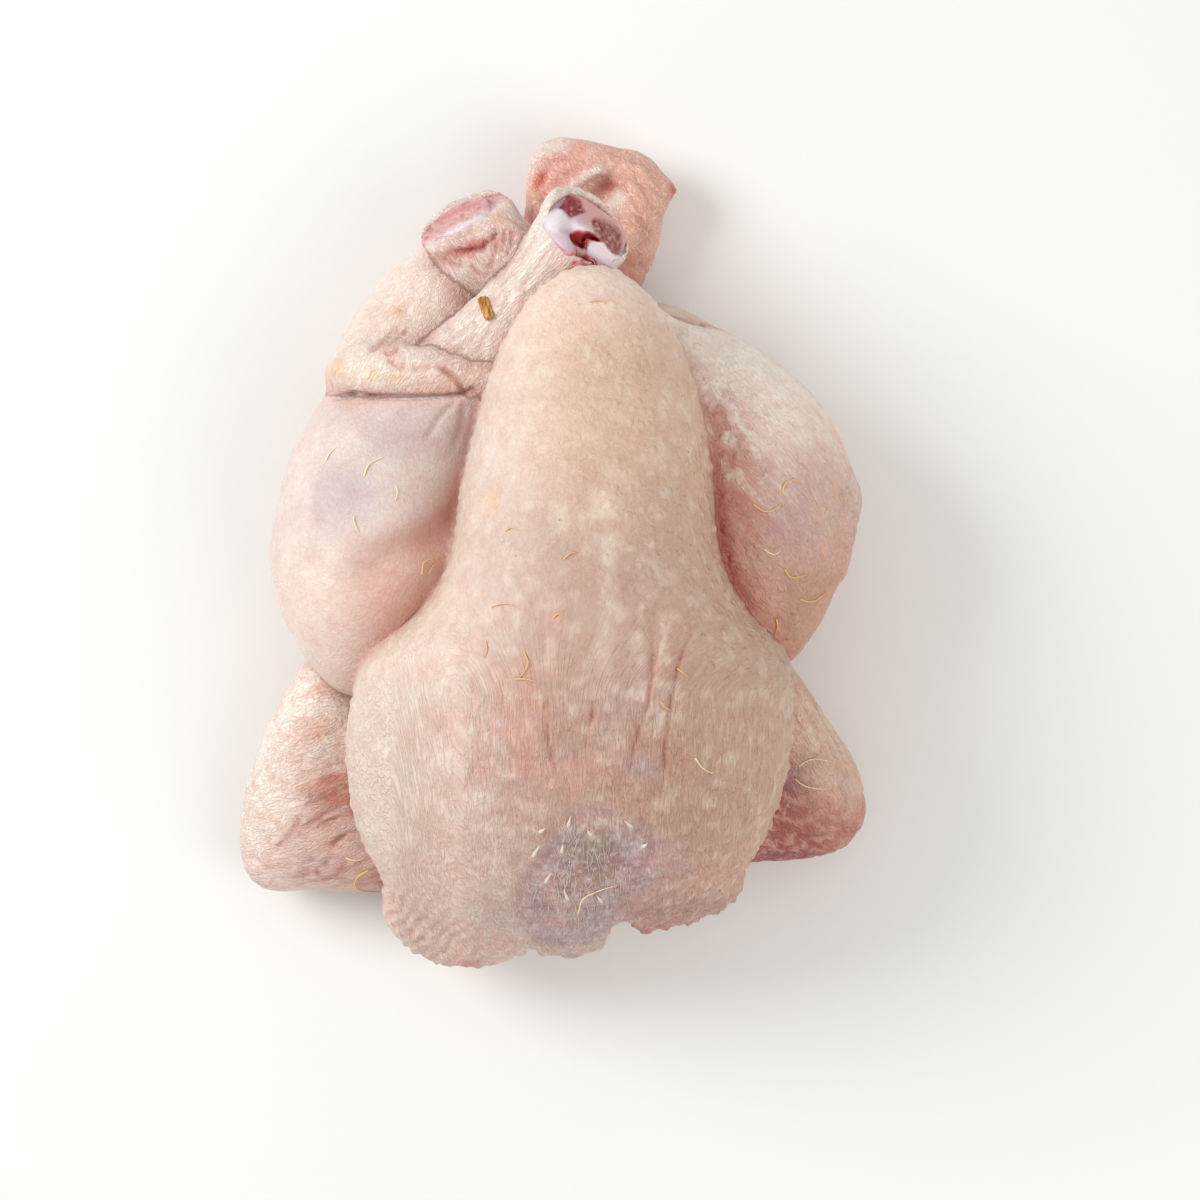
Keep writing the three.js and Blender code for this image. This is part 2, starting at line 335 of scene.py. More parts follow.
def mesh_round(block, volume):
    """A closed mesh of four-sided faces round the cells below 0: its points and its faces."""
    inside = volume < 0
    count = np.array(volume.shape) - 1
    corners = [np.array(c) for c in product((0, 1), repeat=3)]
    boxes = [tuple(slice(c[k], c[k] + count[k]) for k in range(3)) for c in corners]
    filled = sum(inside[box].astype(np.int8) for box in boxes)
    active = (filled > 0) & (filled < 8)
    cells = np.argwhere(active)
    number = np.full(count, -1, np.int64)
    number[active] = np.arange(len(cells))
    total, crossings = np.zeros((len(cells), 3)), np.zeros((len(cells), 1))
    for a, b in product(corners, corners):
        if (b - a).sum() != 1 or (b < a).any():
            continue
        fa, fb = volume[tuple((cells + a).T)], volume[tuple((cells + b).T)]
        crossed = (fa < 0) != (fb < 0)
        share = (fa[crossed] / (fa[crossed] - fb[crossed]))[:, None]
        total[crossed] += a + share * (b - a)
        crossings[crossed] += 1
    points = (cells + total / crossings) * block.step + block.low
    faces = []
    for k in range(3):
        others = [a for a in range(3) if a != k]
        here = tuple(slice(None, -1) if a == k else slice(1, -1) for a in range(3))
        there = tuple(slice(1, None) if a == k else slice(1, -1) for a in range(3))
        crossed = inside[here] != inside[there]
        place = np.argwhere(crossed) + np.array([0 if a == k else 1 for a in range(3)])
        leaving = inside[here][crossed]
        ring = []
        for i, j in ((0, 0), (-1, 0), (-1, -1), (0, -1)):
            shift = np.zeros(3, int)
            shift[others[0]], shift[others[1]] = i, j
            ring.append(number[tuple((place + shift).T)])
        quads = np.stack(ring, -1)
        turned = leaving if k == 1 else ~leaving
        quads[turned] = quads[turned][:, ::-1]
        faces.append(quads)
    points = settled(block, volume, points)
    return points, np.vstack(faces)


def settled(block, volume, points):
    """The points moved on to the place where volume is 0."""
    for _ in range(SETTLING_STEPS):
        slope = block.slope(volume, points)
        steepness = np.maximum((slope**2).sum(-1), SETTLING_SLOPE)
        move = block.sample(volume, points)[:, None] * slope / steepness[:, None]
        points = points - np.clip(move, -block.step / 2, block.step / 2)
    return points


def thinned(points, faces, triangles):
    """The same surface in fewer triangles, which are largest where it is smooth."""
    mesh = bpy.data.meshes.new("dense")
    mesh.from_pydata(points.tolist(), [], faces.tolist())
    dense = bpy.data.objects.new("dense", mesh)
    bpy.context.collection.objects.link(dense)
    modifier = dense.modifiers.new("fewer", "DECIMATE")
    modifier.ratio = triangles / (2 * len(faces))
    modifier.use_collapse_triangulate = True
    made = dense.evaluated_get(bpy.context.evaluated_depsgraph_get()).to_mesh()
    points = np.empty(3 * len(made.vertices))
    made.vertices.foreach_get("co", points)
    faces = np.empty(3 * len(made.polygons), np.int32)
    made.polygons.foreach_get("vertices", faces)
    bpy.data.objects.remove(dense)
    bpy.data.meshes.remove(mesh)
    return points.reshape(-1, 3), faces.reshape(-1, 3)


# ---- The forms of the bird ---------------------------------------------------

# The legs, in millimetres: the knee, the middle of the hock, the cut across it and the way that faces,
# the way along its joint, the line of the flaring skin, and the hollow in the cut.
LEFT_LEG = {
    "knee": (-72, 2, 36),
    "hock": (16, 102, 68),
    "cut": (11, 96.5, 68),
    "facing": (0.5, 0.48, 0.72),
    "across": (0.864, -0.322, -0.386),
    "flare": ((-4, 82, 60), (15, 101, 68)),
    "socket": {"centre": (0, -1), "reach": (13, 11.5)},
}
RIGHT_LEG = {
    "knee": (80, 14, 43),
    "hock": (-36, 107, 54),
    "cut": (-27, 100, 53),
    "facing": (-0.36, 0.64, 0.68),
    "across": (0.883, 0.469, 0.026),
    "flare": ((-19, 78, 44), (-29, 106, 53)),
    "socket": {"centre": (0, 1.2), "reach": (14.5, 5.6)},
}


# How far beyond the cut the form of a socket is drawn, and how thick a plate in it is.
SOCKET_BEYOND = 12
PLATE_THICKNESS = 6


class Hock:
    """The cut end of a leg, with its own axes: a along the joint, b across it and c out of the cut."""

    def __init__(self, leg):
        self.centre = np.array(leg["cut"], float)
        self.out = unit(leg["facing"])
        self.along = unit(np.cross(np.cross(self.out, leg["across"]), self.out))
        self.over = np.cross(self.out, self.along)

    def at(self, a, b, c=0.0):
        return self.centre + a * self.along + b * self.over + c * self.out

    def seen(self, place, out=0.0):
        """The point on the plane of the cut, moved out, that shows at a place of the picture."""
        eye, ground = sight(place)
        ray = ground - eye
        return eye + ray * ((self.centre + out * self.out - eye) @ self.out) / (ray @ self.out)

    def rod(self, block, start, end, reach, height, out, square=2):
        """A rounded rod in the cut between two places of the picture."""
        a, b = self.seen(start, out), self.seen(end, out)
        more = unit(b - a) * reach
        shape = {"side": reach, "top": height, "ends": square, "section": square}
        return form(block, a - more, b + more, up=self.out, **shape)

    def plate(self, block, centre, reach, out):
        """An oval plate that fills the hollow at the cut up to the given height."""
        low, high = self.at(*centre, out - PLATE_THICKNESS), self.at(*centre, out)
        return form(block, low, high, side=reach[0], top=reach[1], ends=8, up=self.over)

    def local(self, points):
        return (points - self.centre) @ np.stack([self.along, self.over, self.out], -1)

    def socket(self, block, centre, reach, depth):
        """A round-cornered hollow, open outwards."""
        floor, mouth = self.at(*centre, -depth), self.at(*centre, SOCKET_BEYOND)
        return form(block, floor, mouth, side=reach[0], top=reach[1], ends=8, up=self.over)


def breast(block):
    main = form(
        block,
        (0, -121, 0),
        (0, 83, 0),
        bend=[-1, 1.5, 3.5, 5.5, 9, 9.8, 10.8, 11.2, 11.5],
        lift=[42, 45, 48, 50, 54, 58, 62, 68, 78],
        side=[82, 88, 83, 79, 75, 72, 68.5, 63.5, 50, 42.5, 40.4, 40.6, 40.5, 40.7, 41.2, 42, 42],
        top=[60, 63, 62, 61, 58, 53, 49, 46, 44],
        bottom=[30, 38, 42, 44, 46, 46, 44, 32, 20],
        section=2.2,
    )
    left = form(block, (-52, -100.5, 27), (-6, -112, 24), side=[17, 20.5, 17], top=24, bottom=20, ends=3)
    right = form(block, (55, -88, 30), (27, -100, 26), side=18, top=20, ends=2.6)
    crop = form(block, (10, -84, 44), (5, -122, 25), side=[14, 16, 9], top=18, bottom=16)
    return joined([joined([main, left, right], blend=8), crop], blend=3)


def neck_fold(block, x, y, width, depth):
    """A fold that parts the crop from a lobe."""
    return form(block, (x, y, 90), (x, y, -10), side=width, top=depth, ends=4, up=(0, 1, 0))


def back(block):
    return form(
        block,
        (4, -112, 26),
        (8, 98, 24),
        side=[40, 48, 54, 54, 52, 48, 40, 31, 20],
        top=[30, 36, 36, 34, 32, 28, 22, 16, 14],
        bottom=34,
        ends=2.6,
        section=2.4,
    )


def left_thigh(block):
    return form(
        block,
        (-61, -44, 36),
        (-44, 64, 35),
        side=[28, 31, 31.5, 30, 26],
        top=[34, 37, 38, 35, 28],
        bottom=36,
    )


def right_thigh(block):
    return form(
        block,
        (65, -36, 36),
        (48, 66, 35),
        side=[25, 30, 34, 33, 22],
        top=[32, 36, 37, 34, 26],
        bottom=36,
    )


def leg(block, knee, hock, cut, facing, flare, **_):
    """A drumstick up to the cut at the hock, where the skin flares round the joint."""
    width = [8, 14, 17.5, 15.5, 12.5, 11.5, 15]
    meat = form(block, knee, hock, side=width, top=[*width[:-1], 12], ends=4)
    skin = form(block, *flare, side=[8, 11, 14, 15], top=[7, 9, 10, 10], ends=4)
    return soft_max(joined([meat, skin], blend=6), cut_plane(block, cut, facing), blend=2)


def left_leg(block):
    return joined([left_thigh(block), leg(block, **LEFT_LEG)], THIGH_BLEND)


def right_leg(block):
    return joined([right_thigh(block), leg(block, **RIGHT_LEG)], THIGH_BLEND)


def left_flank(block):
    roll = form(
        block,
        (-66, 54, 32),
        (-15, 52, 66),
        lift=[0, 12, 13, 7, 0],
        side=[7, 8, 8, 7.5, 6],
        top=[9, 10, 9, 8, 7],
        ends=3,
    )
    flank = form(
        block,
        (-61, 38, 25),
        (-24, 100, 26),
        side=[18, 19, 18, 15, 12],
        top=[35, 33, 29, 25, 18],
        bottom=26,
        ends=2.6,
    )
    web = form(block, (-42, 64, 34), (-20, 88, 38), side=[12, 12, 9], top=[16, 15, 12], bottom=20)
    return joined([joined([roll, flank], blend=7), web], blend=9)


def right_flank(block):
    return form(
        block,
        (20, 76, 28),
        (70, 33, 28),
        side=[7, 11.5, 13.5, 14.5, 15],
        top=[14, 15, 16, 16, 14],
        bottom=28,
        ends=2.6,
    )


def wing(block, elbow, wrist, width, hand, web, web_width):
    """A folded wing: the forearm outside, the hand turned in under the breast, and skin between them."""
    forearm = form(block, elbow, wrist, side=width, top=[12, 15, 16, 15, 12], ends=2.8)
    folded = form(block, *hand, side=11, top=12, bottom=14, ends=2.8)
    skin = form(block, *web, side=web_width, top=16, bottom=14, ends=3)
    return joined([forearm, folded, skin], blend=9)


def left_wing(block):
    return wing(
        block,
        elbow=(-64, -22, 24),
        wrist=(-89, -103, 16),
        width=[8, 11, 14, 15, 13],
        hand=((-92, -92, 15), (-36, -94, 14)),
        web=((-64, -44, 20), (-64, -100, 16)),
        web_width=22,
    )


def right_wing(block):
    return wing(
        block,
        elbow=(57, -26, 24),
        wrist=(91, -86, 16),
        width=[8, 10, 11, 12.5, 12],
        hand=((91, -83, 15), (40, -86, 14)),
        web=((60, -44, 20), (66, -86, 16)),
        web_width=16,
    )


def tail(block):
    nub = form(block, (8, 74, 10), (14, 126, 11), side=[20, 21, 20], top=[8, 6, 6], bottom=24)
    rim = form(
        block,
        (-6, 96, 15),
        (25, 123, 17),
        bend=[0, -9, -13, -9, 0],
        lift=[0, 2, 3, 2, 0],
        side=[6, 7, 7.5, 7, 5.5],
        top=6,
        ends=3,
    )
    lobe = form(block, (20, 84, 13), (26, 121, 14), side=[6, 8, 8], top=[8, 11, 9], bottom=18)
    point = form(block, (18, 112, 15), (38, 113, 16), side=[11, 10, 4], top=[9, 7, 4])
    return joined([nub, rim, lobe, point], blend=5)


def cavity(block):
    return form(
        block,
        (8, 42, 26),
        (6, 112, 26),
        side=[14, 17, 16, 15, 12],
        top=[10, 12, 12, 12, 11],
        bottom=[10, 14, 14, 12, 8],
        ends=3,
    )


# The block of cells for the skin, and how many triangles are left of its mesh.
SKIN_BOX = ((-104, -134, -6), (104, 134, 118))
SKIN_STEP = 0.9
SKIN_TRIANGLES = 196_000
# The folds on both sides of the crop: place, width and depth.
NECK_FOLDS = [(-6.5, -126, 3.5, 8.4), (21, -120.5, 6.5, 11)]
SOCKET_DEPTH = 4.0
# Over how many millimetres the forms run into one another.
THIGH_BLEND = 14
CREASE_BLEND = 2.0
FOLD_BLEND = 1.5
CAVITY_BLEND = 4
SOCKET_BLEND = 1
TABLE_BLEND = 2


def bird():
    """The whole surface: its block, the parts' distances and the distances of all of it together."""
    block = Block(*SKIN_BOX, SKIN_STEP)
    parts = {
        "breast": breast(block),
        "back": back(block),
        "left_flank": left_flank(block),
        "right_flank": right_flank(block),
        "left_wing": left_wing(block),
        "right_wing": right_wing(block),
        "tail": tail(block),
    }
    trunk = joined(list(parts.values()), CREASE_BLEND)
    for fold in NECK_FOLDS:
        trunk = soft_max(trunk, -neck_fold(block, *fold), FOLD_BLEND)
    trunk = soft_max(trunk, -cavity(block), CAVITY_BLEND)
    parts["left_leg"] = left_leg(block)
    parts["right_leg"] = right_leg(block)
    whole = joined([trunk, parts["left_leg"], parts["right_leg"]], CREASE_BLEND)
    for limb in (LEFT_LEG, RIGHT_LEG):
        socket = Hock(limb).socket(block, **limb["socket"], depth=SOCKET_DEPTH)
        whole = soft_max(whole, -socket, SOCKET_BLEND)
    table = cut_plane(block, (0, 0, 0), (0, 0, -1))
    return block, parts, soft_max(whole, table, TABLE_BLEND)


# ---- Materials ---------------------------------------------------------------


def linear(srgb):
    """An sRGB colour from 0 to 255 as the linear one that shaders use."""
    c = np.asarray(srgb, float) / 255
    return np.where(c <= 0.04045, c / 12.92, ((c + 0.055) / 1.055) ** 2.4)


class Shader:
    """A material's node tree, with short ways to add and link its nodes."""

    def __init__(self, name):
        self.material = bpy.data.materials.new(name)
        self.material.use_nodes = True
        self.tree = self.material.node_tree
        self.principled = self.tree.nodes["Principled BSDF"]

    def node(self, kind, inputs=(), **settings):
        made = self.tree.nodes.new(kind)
        for name, value in settings.items():
            setattr(made, name, value)
        for name, value in dict(inputs).items():
            self.set(made.inputs[name], value)
        return made

    def set(self, socket, value):
        if isinstance(value, bpy.types.NodeSocket):
            self.tree.links.new(value, socket)
        else:
            socket.default_value = value

    def place(self):
        return self.node("ShaderNodeTexCoord").outputs["Object"]

    def layer(self, name, output="Fac"):
        """The value that mesh_piece stored under a name, as a number, a Color or a Vector."""
        return self.node("ShaderNodeAttribute", attribute_name=name).outputs[output]

    def noise(self, place, scale, detail, roughness=0.5):
        inputs = {"Vector": place, "Scale": scale, "Detail": detail, "Roughness": roughness}
        return self.node("ShaderNodeTexNoise", inputs).outputs["Fac"]

    def math(self, operation, *values):
        return self.node("ShaderNodeMath", dict(enumerate(values)), operation=operation).outputs[0]

    def ranged(self, value, given, wanted):
        """value carried over from one range to another."""
        ends = zip(("From Min", "From Max", "To Min", "To Max"), (*given, *wanted))
        return self.node("ShaderNodeMapRange", {"Value": value, **dict(ends)}).outputs[0]

    def toned(self, value, given, dark, light):
        """A colour between dark and light as value goes over its range."""
        blend = self.node("ShaderNodeValToRGB", {"Fac": value})
        for stop, place, tone in zip(blend.color_ramp.elements, given, (dark, light)):
            stop.position, stop.color = place, (*tone, 1)
        return blend.outputs["Color"]

    def times(self, one, other):
        return self.node("ShaderNodeVectorMath", {0: one, 1: other}, operation="MULTIPLY").outputs[0]

    def scaled(self, vector, scale):
        inputs = {0: vector, "Scale": scale}
        return self.node("ShaderNodeVectorMath", inputs, operation="SCALE").outputs[0]

    def bump(self, height, strength, distance, normal=None):
        inputs = {"Height": height, "Strength": strength, "Distance": distance}
        if normal is not None:
            inputs["Normal"] = normal
        return self.node("ShaderNodeBump", inputs).outputs[0]

    def surface(self, **values):
        for name, value in values.items():
            self.set(self.principled.inputs[name.replace("_", " ")], value)


def skin_material():
    """Raw skin: its tint with blotches, fine wrinkles with pinker creases, and pale goose bumps."""
    m = Shader("raw_skin")
    place = m.place()
    blotch = m.noise(place, scale=130.0, detail=7.0, roughness=0.75)
    shade = m.toned(blotch, (0.36, 0.6), (0.93, 0.84, 0.82), (1.0, 1.0, 1.0))
    fibre = m.noise(m.layer("grain", "Vector"), scale=1.0, detail=2.5, roughness=0.6)
    back = m.ranged(m.math("ABSOLUTE", m.math("SUBTRACT", fibre, 0.5)), (0.0, 0.09), (0.0, 1.0))
    streak = m.toned(back, (0.0, 0.8), (0.96, 0.91, 0.9), (1.0, 1.0, 1.0))
    pores = m.node("ShaderNodeTexVoronoi", {"Vector": place, "Scale": 290.0, "Randomness": 0.85})
    dot = m.ranged(pores.outputs["Distance"], (0.08, 0.42), (1.0, 0.0))
    pale = m.math("MULTIPLY", dot, m.layer("goose"))
    lift = m.math("MULTIPLY_ADD", pale, 0.1, 1.0)
    fine = m.noise(place, scale=900.0, detail=4.0, roughness=0.65)
    normal = m.bump(fine, strength=0.5, distance=0.0008)
    normal = m.bump(m.math("MULTIPLY", back, m.layer("wrinkled")), 0.8, 0.0007, normal)
    normal = m.bump(pale, 0.8, 0.0009, normal)
    m.surface(
        Base_Color=m.scaled(m.times(m.times(m.layer("tint", "Color"), shade), streak), lift),
        Roughness=m.ranged(blotch, (0.3, 0.7), (0.3, 0.48)),
        Normal=normal,
        Subsurface_Weight=0.22,
        Subsurface_Radius=(1.0, 0.42, 0.25),
        Subsurface_Scale=0.003,
    )
    return m.material


def bone_material():
    """Wet bone: its tint, grained where goose is high, as in the marrow."""
    m = Shader("cartilage_and_marrow")
    goose = m.layer("goose")
    grain = m.noise(m.place(), scale=900.0, detail=4.0, roughness=0.7)
    shade = m.math("MULTIPLY_ADD", m.ranged(grain, (0.35, 0.65), (-0.28, 0.24)), goose, 1.0)
    m.surface(
        Base_Color=m.scaled(m.layer("tint", "Color"), shade),
        Roughness=0.24,
        Normal=m.bump(m.math("MULTIPLY", grain, goose), strength=0.6, distance=0.0008),
        Subsurface_Weight=0.2,
        Subsurface_Radius=(1.0, 0.6, 0.5),
        Subsurface_Scale=0.0015,
    )
    return m.material


# ---- Meshes and their tones --------------------------------------------------


def mesh_piece(name, points, faces, material, **layers):
    """A piece of the model from points in millimetres.

    Each layer is a value at every point that its material reads: a number, a colour or a place.
    """
    mesh = bpy.data.meshes.new(name)
    faces = faces.tolist() if isinstance(faces, np.ndarray) else faces
    mesh.from_pydata((np.asarray(points) * MM).tolist(), [], faces)
    mesh.update()
    mesh.shade_smooth()
    for layer, values in layers.items():
        if layer == "tint":
            made = mesh.attributes.new(layer, "FLOAT_COLOR", "POINT")
            made.data.foreach_set("color", np.c_[values, np.ones(len(values))].ravel())
        elif values.ndim == 2:
            mesh.attributes.new(layer, "FLOAT_VECTOR", "POINT").data.foreach_set("vector", values.ravel())
        else:
            mesh.attributes.new(layer, "FLOAT", "POINT").data.foreach_set("value", values)
    mesh.materials.append(material)
    piece = bpy.data.objects.new(name, mesh)
    bpy.context.collection.objects.link(piece)
    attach(piece, "root")
    return piece


class Surface:
    """Points of the bird, their places in the picture, and the tones laid over one another on them."""

    def __init__(self, points, tone):
        self.points = points
        self.place = photo_place(points)
        self.tint = linear(tone) * np.ones((len(points), 3))

    def across(self, span):
        """0 left of a span of the picture and 1 right of it."""
        return ramp(self.place[:, 0], *span)

    def down(self, span):
        """0 above a span of the picture and 1 below it."""
        return ramp(self.place[:, 1], *span)

    def stroke(self, line, width, fade=0.25):
        return stroke(self.place, line, width, fade)

    def strokes(self, lines, width):
        return np.maximum.reduce([self.stroke(line, width) for line in lines])

    def spot(self, oval):
        return spot(self.place, *oval)

    def spots(self, places, reach):
        return np.maximum.reduce([self.spot((middle, (reach, reach))) for middle in places])

    def patch(self, outline, fade):
        return patch(self.place, outline, fade)

    def clouds(self, size, seed, low=-0.2, high=0.5):
        """Cloudy patches between 0 and 1."""
        return ramp(noise(self.points, size, seed), low, high)

    def lay(self, tone, share):
        """One coat of a tone, which covers each point by its share from 0 to 1."""
        share = np.clip(share, 0, 1)[:, None]
        self.tint = self.tint * (1 - share) + linear(tone) * share


# ---- The skin ----------------------------------------------------------------

IVORY = (243, 230, 215)
CREAM = (240, 220, 203)
PALE_PINK = (236, 209, 198)
PINK = (222, 173, 160)
ROSE = (240, 186, 172)
CUP_PINK = (252, 196, 184)
FLESH = (204, 134, 120)
RUST = (190, 100, 82)
RED = (206, 104, 96)
ORANGE_RED = (232, 128, 98)
RAW_FLESH = (214, 140, 136)
DEEP_RED = (150, 50, 46)
PURPLE = (164, 118, 126)
WINE = (158, 74, 86)
LILAC = (188, 166, 170)
BLUISH = (188, 176, 186)
COOL_GREY = (224, 213, 207)
SLATE = (158, 138, 118)
BEIGE = (224, 209, 195)
APRICOT = (212, 179, 152)
BUFF = (188, 160, 145)
MILKY = (252, 243, 232)
TAN = (194, 152, 124)
PEACH = (234, 182, 150)
STRAW = (240, 198, 132)

# Over how many millimetres a part's share fades beside it.
PART_FADE = 1.5
# How far up a normal points, where the skin begins and ends to count as facing up.
UPWARD = (-0.1, 0.35)
# The same for the steep edge of the breast, counted from straight up.
STEEP = (0.45, 0.9)


class Skin(Surface):
    """The points of the skin, with what its relief and its tones are worked out from."""

    def __init__(self, points, block, parts, whole):
        super().__init__(points, CREAM)
        slope = block.slope(whole, points)
        self.normal = slope / np.linalg.norm(slope, axis=1)[:, None]
        self.upward = ramp(self.normal[:, 2], *UPWARD)
        depths = {name: block.sample(volume, points) for name, volume in parts.items()}
        nearest = np.minimum.reduce(list(depths.values()))
        gaps = {name: depth - nearest for name, depth in depths.items()}
        self.crease = np.sort(np.stack(list(gaps.values())), 0)[1]
        self.region = self.regions(gaps)

    def regions(self, gaps):
        """The share that each part of the bird has in every point, from 0 to 1."""
        share = {name: np.exp(-gap / PART_FADE) for name, gap in gaps.items()}
        left, right = share["left_leg"], share["right_leg"]
        shank = left * self.across(SHANK_LEFT) * (1 - self.down(SHANK_LOW))
        stub = right * (1 - self.across(STUB_RIGHT))
        return {
            **share,
            "left_thigh": left * (1 - shank),
            "right_thigh": right * (1 - stub),
            "shank": shank,
            "stub": stub,
            "roll": share["left_flank"] * self.down(ROLL_TOP),
        }

    def coats(self, part):
        """A function that lays a tone on one part only."""
        on = self.region[part]
        return lambda tone, share=1: self.lay(tone, on * share)

    def wrinkles(self, name):
        """The named wrinkles, from 0 in their creases to 1 on their backs."""
        return folds(self.points, *WRINKLES[name])

    def lobe_rows(self):
        return rows(self.points, *LOBE_ROWS)

    def lower_breast(self):
        """1 on the finely ridged lower half of the breast, and 0 above it and along its left edge."""
        return self.down(RIDGED_TOP) * self.across(RIDGED_LEFT)

    def goose_bumps(self):
        """How strongly goose bumps show: most along the right and lower edges of the breast."""
        return np.clip(0.25 + 0.6 * self.across(GOOSE_RIGHT) + 0.5 * self.down(GOOSE_LOW), 0, 1)


# What follows is in pixels of the picture: first spans, across it or down it, over which something
# comes in, then ovals (middle, reach and turn in degrees), and then lines, outlines and dots.
SHANK_LEFT = (380, 400)
SHANK_LOW = (378, 396)
SHANK_FOOT = (260, 345)
STUB_RIGHT = (540, 560)
ROLL_TOP = (352, 366)
RIDGED_TOP = (560, 700)
RIDGED_LEFT = (390, 470)
GOOSE_RIGHT = (520, 740)
GOOSE_LOW = (820, 930)
WRINKLED_TOP = (600, 740)
BEIGE_TOP = (300, 400)
APRICOT_LEFT = (490, 590)
APRICOT_TOP = (280, 360)
APRICOT_LOW = (450, 600)
BUFF_LEFT = (430, 560)
BUFF_RIGHT = (640, 740)
BUFF_TOP = (420, 600)
BUFF_LOW = (850, 900)
TAN_LEFT = (610, 720)
TAN_TOP = (420, 560)
LOBE_DARK = (880, 915)
LEFT_THIGH_GREY = (520, 610)
LEFT_THIGH_LILAC = (500, 560)
RIGHT_THIGH_MILKY = (370, 520)
RIGHT_THIGH_BUFF = (410, 510)
RIGHT_THIGH_TAN = (500, 600)
RIGHT_THIGH_PINK = (430, 560)
RIGHT_THIGH_PEACH = (790, 830)
LEFT_WING_INNER = (275, 330)
LEFT_WING_MILKY = (740, 780)
LEFT_WING_PEACH = (800, 830)
LEFT_WING_PINK = (820, 850)
LEFT_WING_CLOUDS = (700, 760)
LEFT_WING_CREASES = (680, 760)
LEFT_WING_LOW = (855, 890)
RIGHT_WING_RED = (765, 800)
RIGHT_WING_PALER = (795, 840)
RIGHT_WING_WINE = (815, 850)
TAIL_POINT = (600, 630)
# Where the slanting spans of the wings are met: a height for the left one and a width for the right.
LEFT_WING_HEIGHT = 780
RIGHT_WING_MIDDLE = 780

THIGH_SWELL = ((400, 615), (40, 38))
BREAST_TAN = ((680, 800), (90, 90))
BREAST_PINK = ((540, 730), (120, 100))
BREAST_LILAC = ((622, 708), (16, 12))
BREAST_LEFT_PINK = ((459, 747), (28, 12))
BREAST_STRAW = ((493, 500), (6, 12))
CROP_BLUE = ((641, 852), (22, 16), 25)
CROP_PINK = ((674, 862), (26, 20), 30)
LOBE_PINK = ((440, 880), (70, 50))
LOBE_LILAC = ((500, 920), (30, 30))
LOBE_RED = ((468, 967), (12, 6))
THIGH_LILAC = ((353, 489), (24, 20))
THIGH_PINK = ((395, 600), (46, 56), 35)
THIGH_PALE = ((434, 556), (14, 28), 30)
THIGH_IVORY = ((320, 586), (22, 30))
FIBRE_LILAC = ((785, 515), (44, 44))
FIBRE_IVORY = ((745, 440), (44, 66))
STUB_FAT = ((470, 248), (34, 9), -20)
STUB_RED = ((470, 248), (32, 8), -20)
STUB_ROSE = ((500, 221), (7, 6))
# Painted shade on the flank beside the stub.
FLANK_SHADE_BY_STUB = ((458, 296), (12, 28), -30)
ROLL_ROSE = ((452, 386), (12, 10))
PLEAT_ROSE = ((390, 349), (10, 7))
WING_RUST = ((338, 808), (42, 38), -25)
# Painted shade in the web of the left wing.
WING_WEB_SHADE = ((302, 836), (24, 16), -40)
WING_GREY = ((320, 848), (36, 12))
WING_WINE = ((323, 869), (26, 12))
TIP_LILAC = ((830, 795), (30, 20))
# Painted shade where the right wing meets the breast.
RIGHT_WING_SHADE = ((786, 785), (24, 24))
TIP_PINK = ((832, 800), (30, 26))
TIP_FLESH = ((864, 806), (8, 10))
TAIL_ORANGE = ((581, 149), (4, 5))
DIMPLE_RED = ((611, 186), (8, 6))
POINT_RED = ((674, 189), (6, 8))
# Painted shade in the gap between the tail and the leg ends.
VENT_GAP_SHADE = ((529, 218), (8, 14))

DEEP_GROOVES = [
    [(552, 684), (547, 703), (546, 722), (548, 742), (553, 763), (558, 787)],
    [(593, 699), (591, 720), (588, 738), (585, 760)],
    [(652, 622), (652, 650), (651, 680), (647, 707), (638, 733), (632, 758), (626, 788)],
    [(701, 616), (687, 642), (677, 670), (671, 703), (666, 733), (664, 767), (662, 800), (663, 822)],
]
SHALLOW_GROOVES = [
    [(473, 674), (474, 692), (474, 710)],
    [(502, 672), (503, 700), (502, 720)],
    [(482, 705), (479, 733), (478, 760), (467, 783), (449, 820)],
    [(510, 728), (511, 753), (512, 775), (508, 796)],
    [(494, 728), (490, 758), (482, 786)],
    [(527, 752), (528, 786)],
    [(546, 755), (548, 795)],
    [(567, 755), (566, 788)],
    [(662, 628), (657, 655), (653, 683), (645, 719)],
    [(610, 790), (612, 822)],
    [(640, 795), (643, 825)],
    [(680, 740), (683, 775), (680, 800)],
]
CROP_PATCH = [
    (572, 812), (600, 812), (632, 824), (662, 842), (688, 858), (690, 874), (662, 886),
    (640, 902), (619, 917), (607, 932), (584, 944), (566, 954), (548, 944), (532, 938),
    (520, 912), (524, 880), (542, 856), (558, 836),
]
CROP_GREY = [(578, 832), (606, 832), (620, 846), (622, 868), (606, 884), (578, 884), (566, 866), (568, 846)]
LEFT_LOBE = [(374, 880), (402, 890), (440, 908), (495, 926), (530, 944), (522, 966), (470, 980), (400, 950)]
RIGHT_LOBE = [(625, 905), (665, 888), (715, 862), (760, 850), (770, 885), (715, 925), (650, 935)]
THIGH_VALLEY = [(464, 490), (437, 527), (405, 550), (372, 571), (342, 594)]
ROLL_CREASE = [(333, 398), (344, 396), (357, 394), (372, 396), (417, 397), (458, 396), (464, 391)]
ROLL_END = [
    [(436, 364), (446, 371), (455, 379), (461, 388), (463, 395)],
    [(462, 390), (468, 393), (474, 386)],
]
PLEATS = [
    [(384, 352), (392, 353), (401, 346)],
    [(386, 358), (393, 362), (402, 367), (409, 360)],
    [(412, 369), (421, 367), (433, 367)],
    [(384, 346), (396, 338), (412, 328)],
    [(370, 352), (386, 340), (404, 322)],
]
THIGH_PLEATS = [
    [(458, 400), (440, 418), (425, 442)],
    [(464, 402), (462, 425), (452, 452)],
    [(448, 399), (424, 406), (396, 412)],
]
